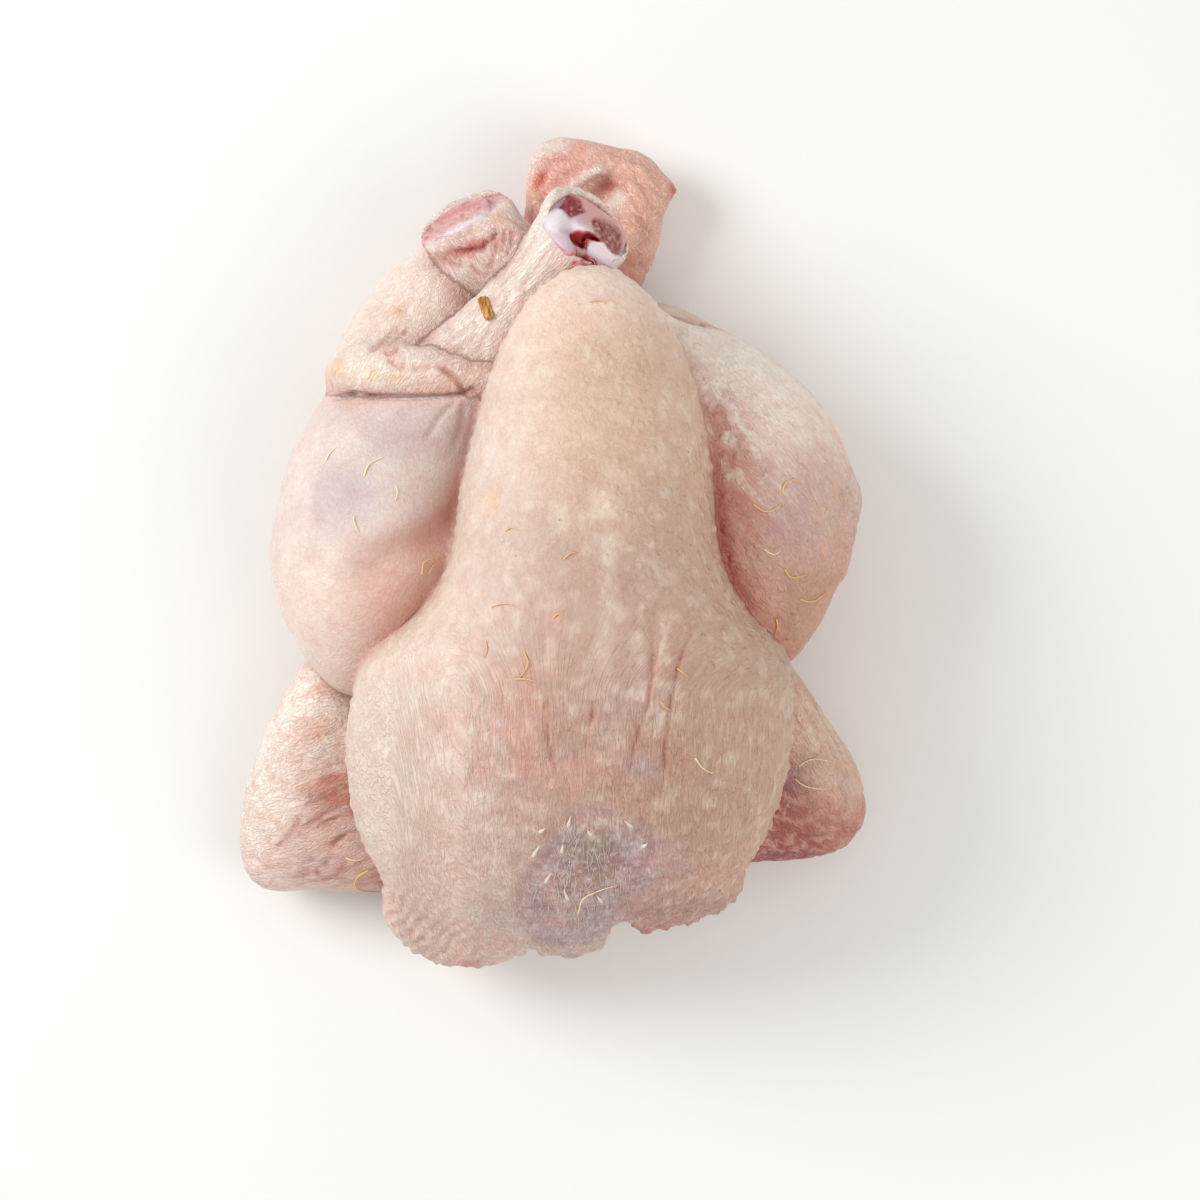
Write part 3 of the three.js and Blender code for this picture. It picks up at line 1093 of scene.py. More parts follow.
SHANK_WRINKLES = [
    [(545, 222), (520, 262), (494, 302), (470, 330)],
    [(556, 240), (536, 268), (520, 290)],
    [(500, 290), (478, 318), (452, 340)],
    [(455, 318), (440, 335), (412, 348)],
    [(480, 330), (462, 348), (430, 358)],
]
STUB_TWISTS = [
    [(504, 226), (504, 240), (501, 254)],
    [(512, 228), (511, 244), (506, 258)],
    [(497, 238), (494, 256), (488, 272)],
    [(470, 262), (478, 274), (492, 276)],
    [(442, 258), (452, 266), (464, 268)],
]
STUB_RAW = [(443, 254), (456, 251), (468, 250), (481, 249), (485, 243), (493, 237), (496, 230), (488, 228)]
STUB_BRIM = [(430, 250), (446, 243), (462, 235), (482, 226), (500, 214), (510, 203)]
PALE_DOTS = [
    (638, 637), (663, 648), (660, 682), (637, 665), (678, 716), (640, 703), (643, 608),
    (617, 688), (600, 760), (458, 732), (497, 723), (512, 650), (445, 682), (508, 682),
    (648, 590), (690, 600), (655, 735), (652, 545), (672, 575), (534, 560), (680, 530),
    (520, 600), (598, 802), (642, 847),
]
ORANGE_DOTS = [
    (557, 618), (555, 675), (538, 707), (508, 732), (538, 748), (526, 662), (564, 820),
    (625, 818),
]
VENT_RIM = [(628, 246), (640, 268), (650, 292), (664, 314)]
TAIL_RIM = [(523, 192), (524, 170), (532, 156), (546, 147), (562, 142), (578, 142)]
TAIL_CUP = [
    (546, 162), (561, 159), (575, 153), (582, 160), (588, 168), (584, 174), (569, 185),
    (557, 193), (541, 202),
]
TAIL_SPOT = [(540, 171), (541, 178), (538, 185), (535, 193)]
TAIL_BAND = [(548, 198), (566, 191), (586, 176), (600, 170), (622, 172)]
TAIL_DIMPLE = [(588, 197), (595, 188), (605, 181), (615, 185), (614, 193), (607, 200), (598, 203)]
TAIL_FAT = [(604, 208), (616, 200), (624, 190)]
TAIL_LINES = [
    [(600, 148), (622, 158), (646, 164), (664, 178)],
    [(640, 156), (656, 168), (668, 182)],
    [(646, 168), (654, 178), (664, 190)],
    [(632, 176), (642, 186), (652, 200)],
    [(628, 212), (640, 222), (644, 236)],
]
WING_RED = [(345, 774), (330, 778), (314, 783)]
WING_FOLDS = [
    [(344, 792), (330, 797), (312, 802), (303, 806)],
    [(344, 806), (328, 812), (312, 822), (298, 830)],
    [(340, 818), (326, 823), (314, 832)],
    [(350, 834), (338, 840), (330, 850)],
    [(302, 812), (290, 834), (272, 852)],
]
CROP_PURPLE = [(548, 866), (556, 844), (565, 830), (573, 814)]
CROP_EDGE = [(545, 860), (526, 878), (518, 903), (530, 930)]
BREAST_RIDGE = [(604, 470), (608, 560), (606, 700)]
LOBE_EDGE = [(618, 922), (632, 930), (650, 933), (695, 925)]
THIGH_PEACH = [(340, 408), (366, 402), (392, 400)]
# Painted shade: flesh and deep red lines in the crease where the left thigh meets the breast.
LEFT_CREASE_SHADE = [(474, 460), (460, 500), (434, 534), (402, 556)]
LEFT_CREASE_SHADE_RED = [(470, 480), (460, 506), (446, 528)]
# Painted reddish shade along the breast, showing between the pale fibres of the right thigh.
SHADE_UNDER_FIBRES = [(700, 390), (722, 440), (738, 500), (744, 560)]
# Painted shade: flesh and deep red lines in the crease where the right thigh meets the breast.
RIGHT_CREASE_SHADE = [(704, 440), (718, 500), (728, 570), (758, 632)]
RIGHT_CREASE_SHADE_RED = [(710, 450), (719, 520), (730, 578), (758, 628)]
ROLL_FAT = [(372, 374), (397, 378), (399, 311)]
# Bruises of the breast: tone, strength, width and line.
BREAST_BRUISES = [
    (PURPLE, 0.5, 8, [(530, 762), (544, 754), (558, 750), (582, 745)]),
    (PURPLE, 0.4, 6, [(596, 728), (610, 733), (624, 740)]),
    (LILAC, 0.9, 9, [(618, 760), (634, 763), (648, 768), (646, 786)]),
]
STUBS = [
    [(532, 858), (540, 844)], [(539, 833), (546, 827)], [(568, 828), (570, 815)], [(632, 828), (624, 819)],
    [(561, 854), (563, 844)], [(545, 884), (552, 871)], [(568, 901), (564, 887)], [(602, 903), (597, 894)],
    [(591, 836), (587, 829)], [(642, 848), (647, 842)],
]
STUB_ROOTS = [root for root, _ in STUBS]

# Wrinkles in space: the way they run, how long they are, how far apart, and the seed of their noise.
WRINKLES = {
    "crop": ((0.1, 1, -0.6), 14, 3.8, 13),
    "left_flank": ((0.5, 0.8, 0.3), 20, 5.5, 16),
    "right_flank": ((0.9, -0.4, 0), 20, 5.5, 26),
    "shank": ((0.66, 0.71, 0.23), 14, 4.0, 18),
    "across_shank": ((0.75, -0.66, 0), 10, 3.6, 19),
    "stub": ((0.5, -0.83, -0.25), 16, 3.8, 20),
    "right_thigh": ((0.55, -0.8, -0.2), 26, 4.6, 22),
    "left_wing": ((1, 0.3, 0), 16, 3.2, 24),
    "right_wing": ((0.5, -0.86, 0), 16, 3.0, 25),
    "tail": ((0.6, -0.75, -0.2), 10, 3.8, 27),
}
# Rows of the left lobe: the way they follow one another, how far apart, and their seed.
LOBE_ROWS = ((0.72, -0.69, 0), 3.8, 14)
# How far the finest wrinkles of each part are drawn out, and how far apart they are.
FINE_WRINKLES = {
    "shank": (4.5, 1.0),
    "stub": (4.5, 1.0),
    "left_flank": (4.0, 1.3),
    "right_thigh": (5.0, 1.3),
    "left_wing": (4.0, 1.3),
    "right_wing": (4.0, 1.3),
    "tail": (3.5, 1.1),
}

# In what follows, the seed of each draw is the last number of noise, streaks and bumps, and the second
# one of clouds, after their size.


def breast_relief(skin):
    p, on = skin.points, skin.region["breast"]
    above = on * skin.upward
    edge = ramp(1 - skin.normal[:, 2], *STEEP)
    relief = on * (0.6 * skin.goose_bumps() + 0.5 * edge) * bumps(p, 4.4, 12)
    relief -= above * (skin.strokes(DEEP_GROOVES, 2.0) + 0.5 * skin.strokes(SHALLOW_GROOVES, 1.8))
    relief += above * 0.3 * skin.lower_breast() * folds(p, (0, 1, -0.1), 40, 3.4, 11)
    relief += above * 0.3 * skin.spots(PALE_DOTS, 6)
    relief += above * 0.4 * skin.spots(STUB_ROOTS, 4.5)
    crop = skin.patch(CROP_PATCH, 16) * above
    relief += crop * (0.6 * skin.wrinkles("crop") - 1.0)
    relief -= above * 0.4 * skin.stroke(CROP_EDGE, 4)
    lobe = on * skin.patch(LEFT_LOBE, 24)
    relief += lobe * (0.9 * skin.lobe_rows() * (0.4 + 0.6 * bumps(p, 3.6, 16)) - 0.3)
    relief += on * skin.patch(RIGHT_LOBE, 36) * (1.5 * bumps(p, 4.4, 15) - 0.5)
    return relief


def leg_relief(skin):
    p, region = skin.points, skin.region
    thigh = region["left_thigh"] * skin.upward
    relief = thigh * (1.4 * skin.spot(THIGH_SWELL) - 2.6 * skin.stroke(THIGH_VALLEY, 20, 0.3))
    relief -= thigh * 0.8 * skin.strokes(THIGH_PLEATS, 3.5)
    thigh = region["right_thigh"]
    relief += thigh * 0.45 * skin.wrinkles("right_thigh")
    relief += thigh * 0.5 * skin.upward * bumps(p, 5.2, 23)
    shank = region["shank"]
    relief += shank * (0.6 * skin.wrinkles("shank") - 0.3)
    relief += shank * skin.down(SHANK_FOOT) * (0.6 * skin.wrinkles("across_shank") - 0.3)
    relief -= shank * 0.6 * skin.strokes(SHANK_WRINKLES, 3)
    stub = region["stub"]
    relief += stub * (0.6 * skin.wrinkles("stub") - 0.3)
    relief -= stub * (0.9 * skin.strokes(STUB_TWISTS, 2.5) + 1.8 * skin.stroke(STUB_RAW, 3))
    relief += stub * 1.2 * skin.stroke(STUB_BRIM, 6, 0.1)
    relief += stub * skin.spot(STUB_FAT) * (2.0 * bumps(p, 3.4, 21) - 0.6)
    return relief


def flank_relief(skin):
    region = skin.region
    flank = region["left_flank"]
    relief = -flank * (1.3 * skin.strokes(PLEATS, 2.6) + 2.0 * skin.strokes(ROLL_END, 2.6))
    relief += flank * 0.35 * skin.wrinkles("left_flank")
    relief += region["roll"] * 0.4 * bumps(skin.points, 5, 17)
    relief -= (region["left_thigh"] + flank) * 1.4 * skin.stroke(ROLL_CREASE, 2.4, 0.1)
    relief += region["right_flank"] * 0.9 * skin.wrinkles("right_flank")
    return relief


def wing_relief(skin):
    relief = 0
    for side, seed in (("left_wing", 41), ("right_wing", 42)):
        rough = 0.6 * skin.wrinkles(side) + 0.2 * bumps(skin.points, 4.6, seed) - 0.4
        relief = relief + skin.region[side] * rough
    return relief - skin.region["left_wing"] * 0.7 * skin.strokes(WING_FOLDS, 2.5)


def tail_relief(skin):
    on = skin.region["tail"]
    relief = on * skin.across(TAIL_POINT) * (0.8 * skin.wrinkles("tail") - 0.4)
    relief += on * (1.2 * skin.stroke(TAIL_BAND, 4) - 1.8 * skin.patch(TAIL_DIMPLE, 6))
    relief += on * (1.0 * skin.stroke(TAIL_RIM, 8) - 1.8 * skin.patch(TAIL_CUP, 10))
    relief += on * (0.8 * skin.stroke(TAIL_FAT, 8) - 2.0 * skin.stroke(TAIL_SPOT, 5))
    relief -= on * 0.7 * skin.strokes(TAIL_LINES, 2.5)
    return relief


def skin_relief(skin):
    """How far each point stands out from the plain forms, in millimetres."""
    p = skin.points
    relief = 0.6 * noise(p, 42, 1) + 0.3 * noise(p, 17, 2) + 0.15 * noise(p, 6, 3)
    for part in (breast_relief, leg_relief, flank_relief, wing_relief, tail_relief):
        relief += part(skin)
    return relief


def breast_tint(skin):
    lay = skin.coats("breast")
    cloud = 0.3 + 0.7 * skin.clouds(7, 32)
    lay(BEIGE, 0.25 + 0.6 * skin.down(BEIGE_TOP))
    apricot = skin.across(APRICOT_LEFT) * skin.down(APRICOT_TOP)
    lay(APRICOT, apricot * (0.75 - 0.4 * skin.down(APRICOT_LOW)))
    buff = skin.across(BUFF_LEFT) * (0.85 - 0.5 * skin.across(BUFF_RIGHT))
    lay(BUFF, buff * skin.down(BUFF_TOP) * (1 - 0.5 * skin.down(BUFF_LOW)))
    lay(TAN, 0.4 * skin.across(TAN_LEFT) * skin.down(TAN_TOP))
    lay(TAN, 0.4 * skin.spot(BREAST_TAN))
    lay(PINK, 0.7 * skin.spot(BREAST_PINK) * cloud)
    for tone, strength, width, line in BREAST_BRUISES:
        lay(tone, strength * skin.stroke(line, width) * cloud)
    lay(LILAC, 0.4 * skin.spot(BREAST_LILAC))
    lay(PINK, 0.5 * skin.spot(BREAST_LEFT_PINK) * cloud)
    lay(PEACH, 0.6 * skin.spots(ORANGE_DOTS, 5))
    lay(FLESH, 0.6 * skin.strokes(DEEP_GROOVES, 2))
    lay(PINK, 0.5 * skin.strokes(SHALLOW_GROOVES, 2.5))
    lay(IVORY, 0.3 * skin.stroke(BREAST_RIDGE, 6))
    lay(STRAW, 0.5 * skin.spot(BREAST_STRAW))
    lay(IVORY, 0.3 * skin.clouds(3.2, 52, 0.1, 0.6))
    lay(IVORY, 0.45 * skin.spots(PALE_DOTS, 6) * skin.clouds(2.2, 52, -0.5, 0.2))
    crop_tint(skin, lay, cloud)
    lobe_tint(skin, lay)


def crop_tint(skin, lay, cloud):
    crop = skin.patch(CROP_PATCH, 24)
    fibres = ramp(streaks(skin.points, WRINKLES["crop"][0], 16, 1.0, 34), 0.1, 0.5)
    lay(LILAC, 0.75 * crop)
    lay(PINK, 0.5 * crop * skin.clouds(6, 43))
    lay(SLATE, 0.8 * skin.patch(CROP_GREY, 26) * (0.6 + 0.4 * cloud))
    lay(BLUISH, 0.9 * skin.spot(CROP_BLUE) * cloud)
    lay(PURPLE, 0.6 * skin.stroke(CROP_PURPLE, 8) * cloud)
    lay(PINK, 0.6 * skin.spot(CROP_PINK))
    lay(PURPLE, 0.4 * crop * skin.clouds(4, 70, 0.1, 0.6))
    lay(COOL_GREY, 0.6 * crop * fibres)
    lay(FLESH, 0.15 * skin.stroke(CROP_EDGE, 6))
    lay(IVORY, 0.45 * skin.spots(STUB_ROOTS, 4))


def lobe_tint(skin, lay):
    """The tones of the two lobes beside the crop."""
    left, right = skin.patch(LEFT_LOBE, 30), skin.patch(RIGHT_LOBE, 36)
    between = (1 - skin.lobe_rows()) * skin.clouds(8, 79, -0.6, 0.2)
    lay(PINK, 0.3 * skin.spot(LOBE_PINK))
    lay(CREAM, 0.5 * left)
    lay(LILAC, 0.4 * skin.spot(LOBE_LILAC))
    lay(PINK, left * (0.2 + 0.4 * between))
    lay(TAN, 0.45 * right)
    lay(PINK, 0.4 * right)
    lay(PURPLE, 0.5 * right * skin.down(LOBE_DARK))
    lay(IVORY, 0.6 * right * bumps(skin.points, 4.4, 15))
    lay(RED, 0.7 * skin.spot(LOBE_RED))
    lay(RED, 0.45 * skin.stroke(LOBE_EDGE, 6))


def left_thigh_tint(skin):
    lay = skin.coats("left_thigh")
    lay(COOL_GREY, 0.85 - 0.5 * skin.down(LEFT_THIGH_GREY))
    lay(LILAC, 0.45 * skin.clouds(16, 44) * (1 - skin.down(LEFT_THIGH_LILAC)))
    lay(LILAC, 0.3 * skin.spot(THIGH_LILAC))
    lay(PEACH, 0.3 * skin.stroke(THIGH_PEACH, 6))
    # Painted shade: a pinker band along the valley between the drumstick and the thigh.
    lay(PINK, 0.4 * skin.stroke(THIGH_VALLEY, 24, 0.3))
    lay(PINK, 0.7 * skin.spot(THIGH_PINK))
    # Painted shade in the crease between the left thigh and the breast.
    lay(FLESH, 0.6 * skin.stroke(LEFT_CREASE_SHADE, 15, 0.3))
    lay(DEEP_RED, 0.2 * skin.stroke(LEFT_CREASE_SHADE_RED, 8, 0.3))
    lay(PALE_PINK, 0.7 * skin.spot(THIGH_PALE))
    lay(IVORY, 0.6 * skin.spot(THIGH_IVORY))


def right_thigh_tint(skin):
    lay = skin.coats("right_thigh")
    cloud = 0.3 + 0.7 * skin.clouds(8, 35)
    fibres = ramp(streaks(skin.points, WRINKLES["right_thigh"][0], 12, 2.0, 36), 0.05, 0.5)
    lay(MILKY, 0.9 * (1 - skin.down(RIGHT_THIGH_MILKY)))
    lay(BUFF, 0.5 * skin.down(RIGHT_THIGH_BUFF))
    lay(TAN, 0.95 * skin.down(RIGHT_THIGH_TAN))
    lay(PINK, 0.65 * skin.down(RIGHT_THIGH_PINK) * cloud)
    lay(LILAC, 0.6 * skin.spot(FIBRE_LILAC) * cloud)
    # Painted shade along the breast, kept off the pale fibres.
    lay(FLESH, skin.stroke(SHADE_UNDER_FIBRES, 34, 0.2) * (0.75 - 0.6 * fibres))
    lay(IVORY, 0.75 * fibres * skin.spot(FIBRE_IVORY))
    lay(PEACH, 0.4 * skin.clouds(4, 45, 0.1, 0.5) * skin.across(RIGHT_THIGH_PEACH))
    # Painted shade in the crease between the right thigh and the breast.
    lay(FLESH, skin.stroke(RIGHT_CREASE_SHADE, 15, 0.3))
    lay(DEEP_RED, 0.9 * skin.stroke(RIGHT_CREASE_SHADE_RED, 9, 0.3))


def shank_tint(skin):
    lay = skin.coats("shank")
    lay(MILKY)
    lay(PINK, 0.15 * (1 - skin.wrinkles("shank")))
    lay(PINK, 0.3 * skin.strokes(SHANK_WRINKLES, 3))
    lay(PINK, 0.15 * skin.clouds(9, 46, 0.1, 0.7))


def stub_tint(skin):
    lay = skin.coats("stub")
    lay(MILKY)
    lay(RED, 0.5 * skin.strokes(STUB_TWISTS, 3))
    lay(PINK, 0.25 * skin.clouds(6, 76))
    lay(PINK, 0.3 * (1 - skin.wrinkles("stub")))
    lay(PINK, 0.5 * skin.stroke(STUB_BRIM, 7))
    lay(ROSE, 0.8 * skin.spot(STUB_FAT))
    lay(RED, 0.8 * skin.spot(STUB_RED) * (1 - bumps(skin.points, 3.4, 21)))
    lay(DEEP_RED, 0.6 * skin.stroke(STUB_RAW, 2.6))
    lay(ROSE, 0.8 * skin.spot(STUB_ROSE))


# The raw wall of a socket: its edge as a share of its reach, and its mouth and floor as heights.
SOCKET_EDGE = (0.92, 1.04)
SOCKET_MOUTH = (-1.2, 0.2)
SOCKET_FLOOR = (-8, -6)


def socket_tint(skin):
    for leg in (LEFT_LEG, RIGHT_LEG):
        a, b, c = Hock(leg).local(skin.points).T
        centre, reach = leg["socket"]["centre"], leg["socket"]["reach"]
        round_it = np.hypot((a - centre[0]) / reach[0], (b - centre[1]) / reach[1])
        deep = (1 - ramp(c, *SOCKET_MOUTH)) * ramp(c, *SOCKET_FLOOR)
        hollow = (1 - ramp(round_it, *SOCKET_EDGE)) * deep
        skin.lay(RAW_FLESH, 0.95 * hollow)
        skin.lay(DEEP_RED, 0.7 * hollow * skin.clouds(2.2, 37, 0, 0.4))


def flank_tint(skin):
    lay = skin.coats("left_flank")
    lay(MILKY, 0.55)
    # Painted shade, in a flesh tone, on the flank where it meets the stub.
    lay(FLESH, 0.5 * skin.spot(FLANK_SHADE_BY_STUB))
    lay(PALE_PINK, 0.4 * skin.clouds(10, 50))
    lay(PINK, 0.5 * skin.strokes(PLEATS, 4))
    lay(RED, 0.6 * skin.strokes(ROLL_END, 4))
    lay(ROSE, 0.5 * skin.spot(ROLL_ROSE))
    lay(ROSE, 0.5 * skin.spot(PLEAT_ROSE))
    skin.lay(STRAW, 0.35 * skin.region["roll"] * skin.clouds(6, 38, 0.0, 0.6))
    lay(STRAW, 0.6 * skin.spots(ROLL_FAT, 6))
    lay = skin.coats("right_flank")
    lay(MILKY, 0.6)
    lay(APRICOT, 0.4)
    rim = skin.stroke(VENT_RIM, 9) * skin.upward * (1 - skin.region["breast"])
    skin.lay(APRICOT, 0.8 * rim)
    skin.lay(PINK, 0.6 * rim * skin.clouds(4, 85))


def left_wing_tint(skin):
    lay = skin.coats("left_wing")
    x, y = skin.place.T
    inner = ramp(x - 0.3 * (y - LEFT_WING_HEIGHT), *LEFT_WING_INNER)
    bands = ramp(streaks(skin.points, WRINKLES["left_wing"][0], 30, 4.5, 74), -0.1, 0.3)
    creases = (1 - skin.wrinkles("left_wing")) * skin.down(LEFT_WING_CREASES)
    clouds = (0.4 + 0.6 * skin.clouds(5, 39)) * skin.down(LEFT_WING_CLOUDS)
    lay(MILKY, 0.7)
    lay(MILKY, 0.8 * (1 - skin.down(LEFT_WING_MILKY)))
    lay(PEACH, 0.5 * inner * bands * (1 - skin.down(LEFT_WING_PEACH)))
    lay(PINK, 0.25 * skin.down(LEFT_WING_PINK))
    lay(PEACH, 0.3 * skin.clouds(3, 47, 0.1, 0.5))
    lay(PINK, 0.4 * inner * clouds)
    lay(PINK, 0.35 * creases * (0.3 + 0.7 * inner))
    lay(RUST, 0.65 * skin.spot(WING_RUST) * (0.5 + 0.5 * bands))
    lay(RED, 0.5 * skin.stroke(WING_RED, 7) * (0.5 + 0.5 * bands))
    lay(DEEP_RED, 0.35 * skin.strokes(WING_FOLDS, 3))
    # Painted shade on the skin between the forearm and the folded hand.
    lay(FLESH, 0.4 * skin.spot(WING_WEB_SHADE))
    lay(COOL_GREY, 0.5 * skin.spot(WING_GREY) * skin.clouds(5, 75, -0.4, 0.3))
    lay(PINK, 0.3 * skin.down(LEFT_WING_LOW) * skin.clouds(4, 48))
    lay(WINE, skin.spot(WING_WINE) * (0.35 + 0.6 * skin.clouds(2.5, 53, -0.4, 0.3)))


def right_wing_tint(skin):
    lay = skin.coats("right_wing")
    x, y = skin.place.T
    red = ramp(y - 0.4 * (x - RIGHT_WING_MIDDLE), *RIGHT_WING_RED)
    lay(APRICOT, 0.8)
    lay(CREAM, 0.55 * (1 - red))
    lay(TAN, 0.4 * (1 - skin.wrinkles("right_wing")))
    lay(PEACH, 0.3 * skin.clouds(5, 54) * (1 - red))
    lay(FLESH, red * (0.6 + 0.4 * skin.clouds(4, 40)))
    lay(LILAC, 0.5 * skin.spot(TIP_LILAC) * skin.clouds(5, 55, -0.4, 0.3))
    # Painted shade: purple-brown where the right wing meets the breast.
    lay(PURPLE, 0.9 * skin.spot(RIGHT_WING_SHADE))
    lay(DEEP_RED, 0.55 * red * (1 - 0.7 * skin.across(RIGHT_WING_PALER)))
    lay(WINE, 0.6 * skin.down(RIGHT_WING_WINE) * skin.clouds(3, 56, -0.4, 0.3))
    lay(PINK, 0.7 * red * ramp(streaks(skin.points, (0.8, -0.6, 0), 7, 1.0, 57), 0.0, 0.5))
    lay(PINK, 0.5 * skin.spot(TIP_PINK))
    lay(FLESH, 0.7 * skin.spot(TIP_FLESH))


def tail_tint(skin):
    lay = skin.coats("tail")
    lay(CUP_PINK, 0.55)
    lay(PEACH, 0.35 * skin.clouds(8, 58))
    lay(PINK, 0.5 * (1 - skin.wrinkles("tail")))
    lay(PINK, 0.5 * skin.strokes(TAIL_LINES, 4))
    lay(MILKY, 0.8 * skin.stroke(TAIL_RIM, 9))
    lay(CUP_PINK, skin.patch(TAIL_CUP, 7))
    lay(ORANGE_RED, 0.9 * skin.stroke(TAIL_SPOT, 5))
    lay(ORANGE_RED, 0.6 * skin.spot(TAIL_ORANGE))
    lay(MILKY, 0.8 * skin.stroke(TAIL_BAND, 5))
    lay(ROSE, 0.8 * skin.patch(TAIL_DIMPLE, 5))
    lay(RED, 0.6 * skin.spot(DIMPLE_RED))
    lay(MILKY, 0.9 * skin.stroke(TAIL_FAT, 8))
    lay(RED, 0.8 * skin.spot(POINT_RED))
    # Painted shade, in the deep red of raw flesh, in the gap between the tail and the leg ends.
    gap = (1 - skin.region["shank"]) * (1 - skin.region["stub"])
    skin.lay(DEEP_RED, 0.8 * gap * skin.spot(VENT_GAP_SHADE))


# The order in which the parts are tinted: later ones cover earlier ones where they meet.
TINTS = (
    breast_tint, left_thigh_tint, right_thigh_tint, flank_tint, left_wing_tint, right_wing_tint,
    tail_tint, shank_tint, stub_tint, socket_tint,
)
# The painted shade in the creases between parts, a darker flesh tone: how wide it is, and the height above
# which it shows.
CREASE_SHADE_WIDTH = 2.5
CREASE_SHADE_LOWEST = 12


def skin_tint(skin):
    p = skin.points
    skin.lay(PALE_PINK, 0.35 + 0.35 * noise(p, 26, 5) + 0.2 * noise(p, 9, 6))
    for tint in TINTS:
        tint(skin)
    # Painted shade: a darker flesh tone laid along the creases where parts meet.
    skin.lay(FLESH, 0.55 * np.exp(-skin.crease / CREASE_SHADE_WIDTH) * (p[:, 2] > CREASE_SHADE_LOWEST))
    return skin.tint


# The finest wrinkles of the breast: how far apart, and how much that changes along each axis on
# its ridged lower half. Other parts have their own where their share is above OWN_GRAIN.
GRAIN = 2.6
RIDGED_GRAIN = (-1.5, 7.0, 0.0)
OWN_GRAIN = 0.5


def skin_grain(skin):
    """Places in a space where each part's fine wrinkles are round, so that noise there is drawn out."""
    p, region = skin.points, skin.region
    lower = region["breast"] * skin.lower_breast()
    grain = p / (GRAIN + lower[:, None] * RIDGED_GRAIN)
    strongest = np.full(len(p), OWN_GRAIN)
    for name, (length, width) in FINE_WRINKLES.items():
        way = unit(WRINKLES[name][0])
        run = (p @ way)[:, None] * way
        chosen = region[name] > strongest
        grain[chosen] = ((p - run) / width + run / length)[chosen]
        strongest = np.maximum(strongest, region[name])
    return grain


# How deep the finest wrinkles are, and how much deeper on some parts.
WRINKLE_DEPTH = 0.12
DEEPER = {
    "shank": 0.4,
    "stub": 0.4,
    "left_flank": 0.3,
    "tail": 0.4,
    "right_thigh": 0.2,
    "left_wing": 0.35,
    "right_wing": 0.35,
}


def wrinkled_share(skin):
    """How deep the finest wrinkles are: most on the leg ends, the tail and the wings."""
    share = WRINKLE_DEPTH + 0.35 * skin.region["breast"] * skin.down(WRINKLED_TOP)
    return share + sum(more * skin.region[name] for name, more in DEEPER.items())


# The relief grows from none where the skin lies on the table to all of it above this height.
LYING = (0.5, 6.0)


def make_skin():
    block, parts, whole = bird()
    dense, faces = mesh_round(block, whole)
    skin = Skin(dense, block, parts, whole)
    relief = skin_relief(skin) * ramp(dense[:, 2], *LYING)
    points = dense + skin.normal * relief[:, None]
    points[:, 2] = np.maximum(points[:, 2], 0)
    points, faces = thinned(points, faces, SKIN_TRIANGLES)
    skin = Skin(points, block, parts, whole)
    goosed = np.clip(skin.region["breast"] + 0.8 * skin.region["right_thigh"], 0.15, 1)
    layers = {
        "tint": skin_tint(skin),
        "grain": skin_grain(skin),
        "goose": skin.goose_bumps() * goosed,
        "wrinkled": wrinkled_share(skin),
    }
    return mesh_piece("skin", points, faces, skin_material(), **layers), points, faces


# ---- The hock bones ----------------------------------------------------------

BONE_STEP = 0.45
# The shaft of a hock bone: how deep it goes, how far it stands proud of the cut and how far
# beyond the cut its form is drawn before that.
BONE_DEPTH = 38
BONE_PROUD = 1
BONE_BEYOND = 14
# Its block leaves this much room round the cut and round a point of the shaft, which is this far
# from the shaft's inner end.
CUT_ROOM = 16
SHAFT_ROOM = 7
SHAFT_END = 9
# Over how many millimetres its forms run into one another.
BONE_BLEND = 1.2
PIT_BLEND = 0.6
FACE_BLEND = 1.0

CARTILAGE = (230, 218, 222)
BONE_EDGE = (194, 156, 166)
BONE_LILAC = (206, 186, 200)
BONE_PINK = (208, 158, 156)
MARROW = (146, 46, 52)
MARROW_GREY = (160, 96, 92)
SPONGE = (216, 164, 158)
PIT = (118, 20, 28)
RAW_RED = (172, 58, 62)

# The plates that fill the sockets: their reach and their height above the cut, in millimetres.
LEFT_PLATE = ((13.4, 11.9), -1.7)
RIGHT_PLATE = ((14.8, 5.9), -1.0)
# Rods of bone: their two ends in the picture, then reach, height and how far out, in millimetres.
LEFT_BAR = ((572, 207), (612, 237), 4.6, 3.4, -2.6)
LEFT_RODS = {
    "knob": ((555, 227), (561, 217), 3.3, 3.2, -2.5),
    "rim": ((568, 227), (600, 243), 1.3, 2.4, -1.9),
    "ridge": ((594, 247), (614, 259), 2.3, 3.4, -2.6),
    "strip": ((561, 238), (568, 251), 2.2, 2.0, -3.0),
    "flap": ((578, 266), (610, 268), 2.6, 2.2, -3.0),
}
LEFT_PITS = [
    ((577, 239), (581, 244), 2.1, 5, -1.0),
    ((585, 238), (597, 243), 0.8, 4, -1.0),
    ((581, 251), (592, 262), 1.3, 4, -1.0),
    ((567, 256), (572, 259), 1.2, 4, -1.0),
]
LEFT_LUMP = ((573, 250), (580, 252), 1.3, 1.6, -3.0)
RIGHT_RODS = {
    "face": ((440, 231), (488, 209), 3.4, 3.4, -2.8),
    "band": ((432, 244), (502, 205), 1.0, 2.2, -1.6),
}
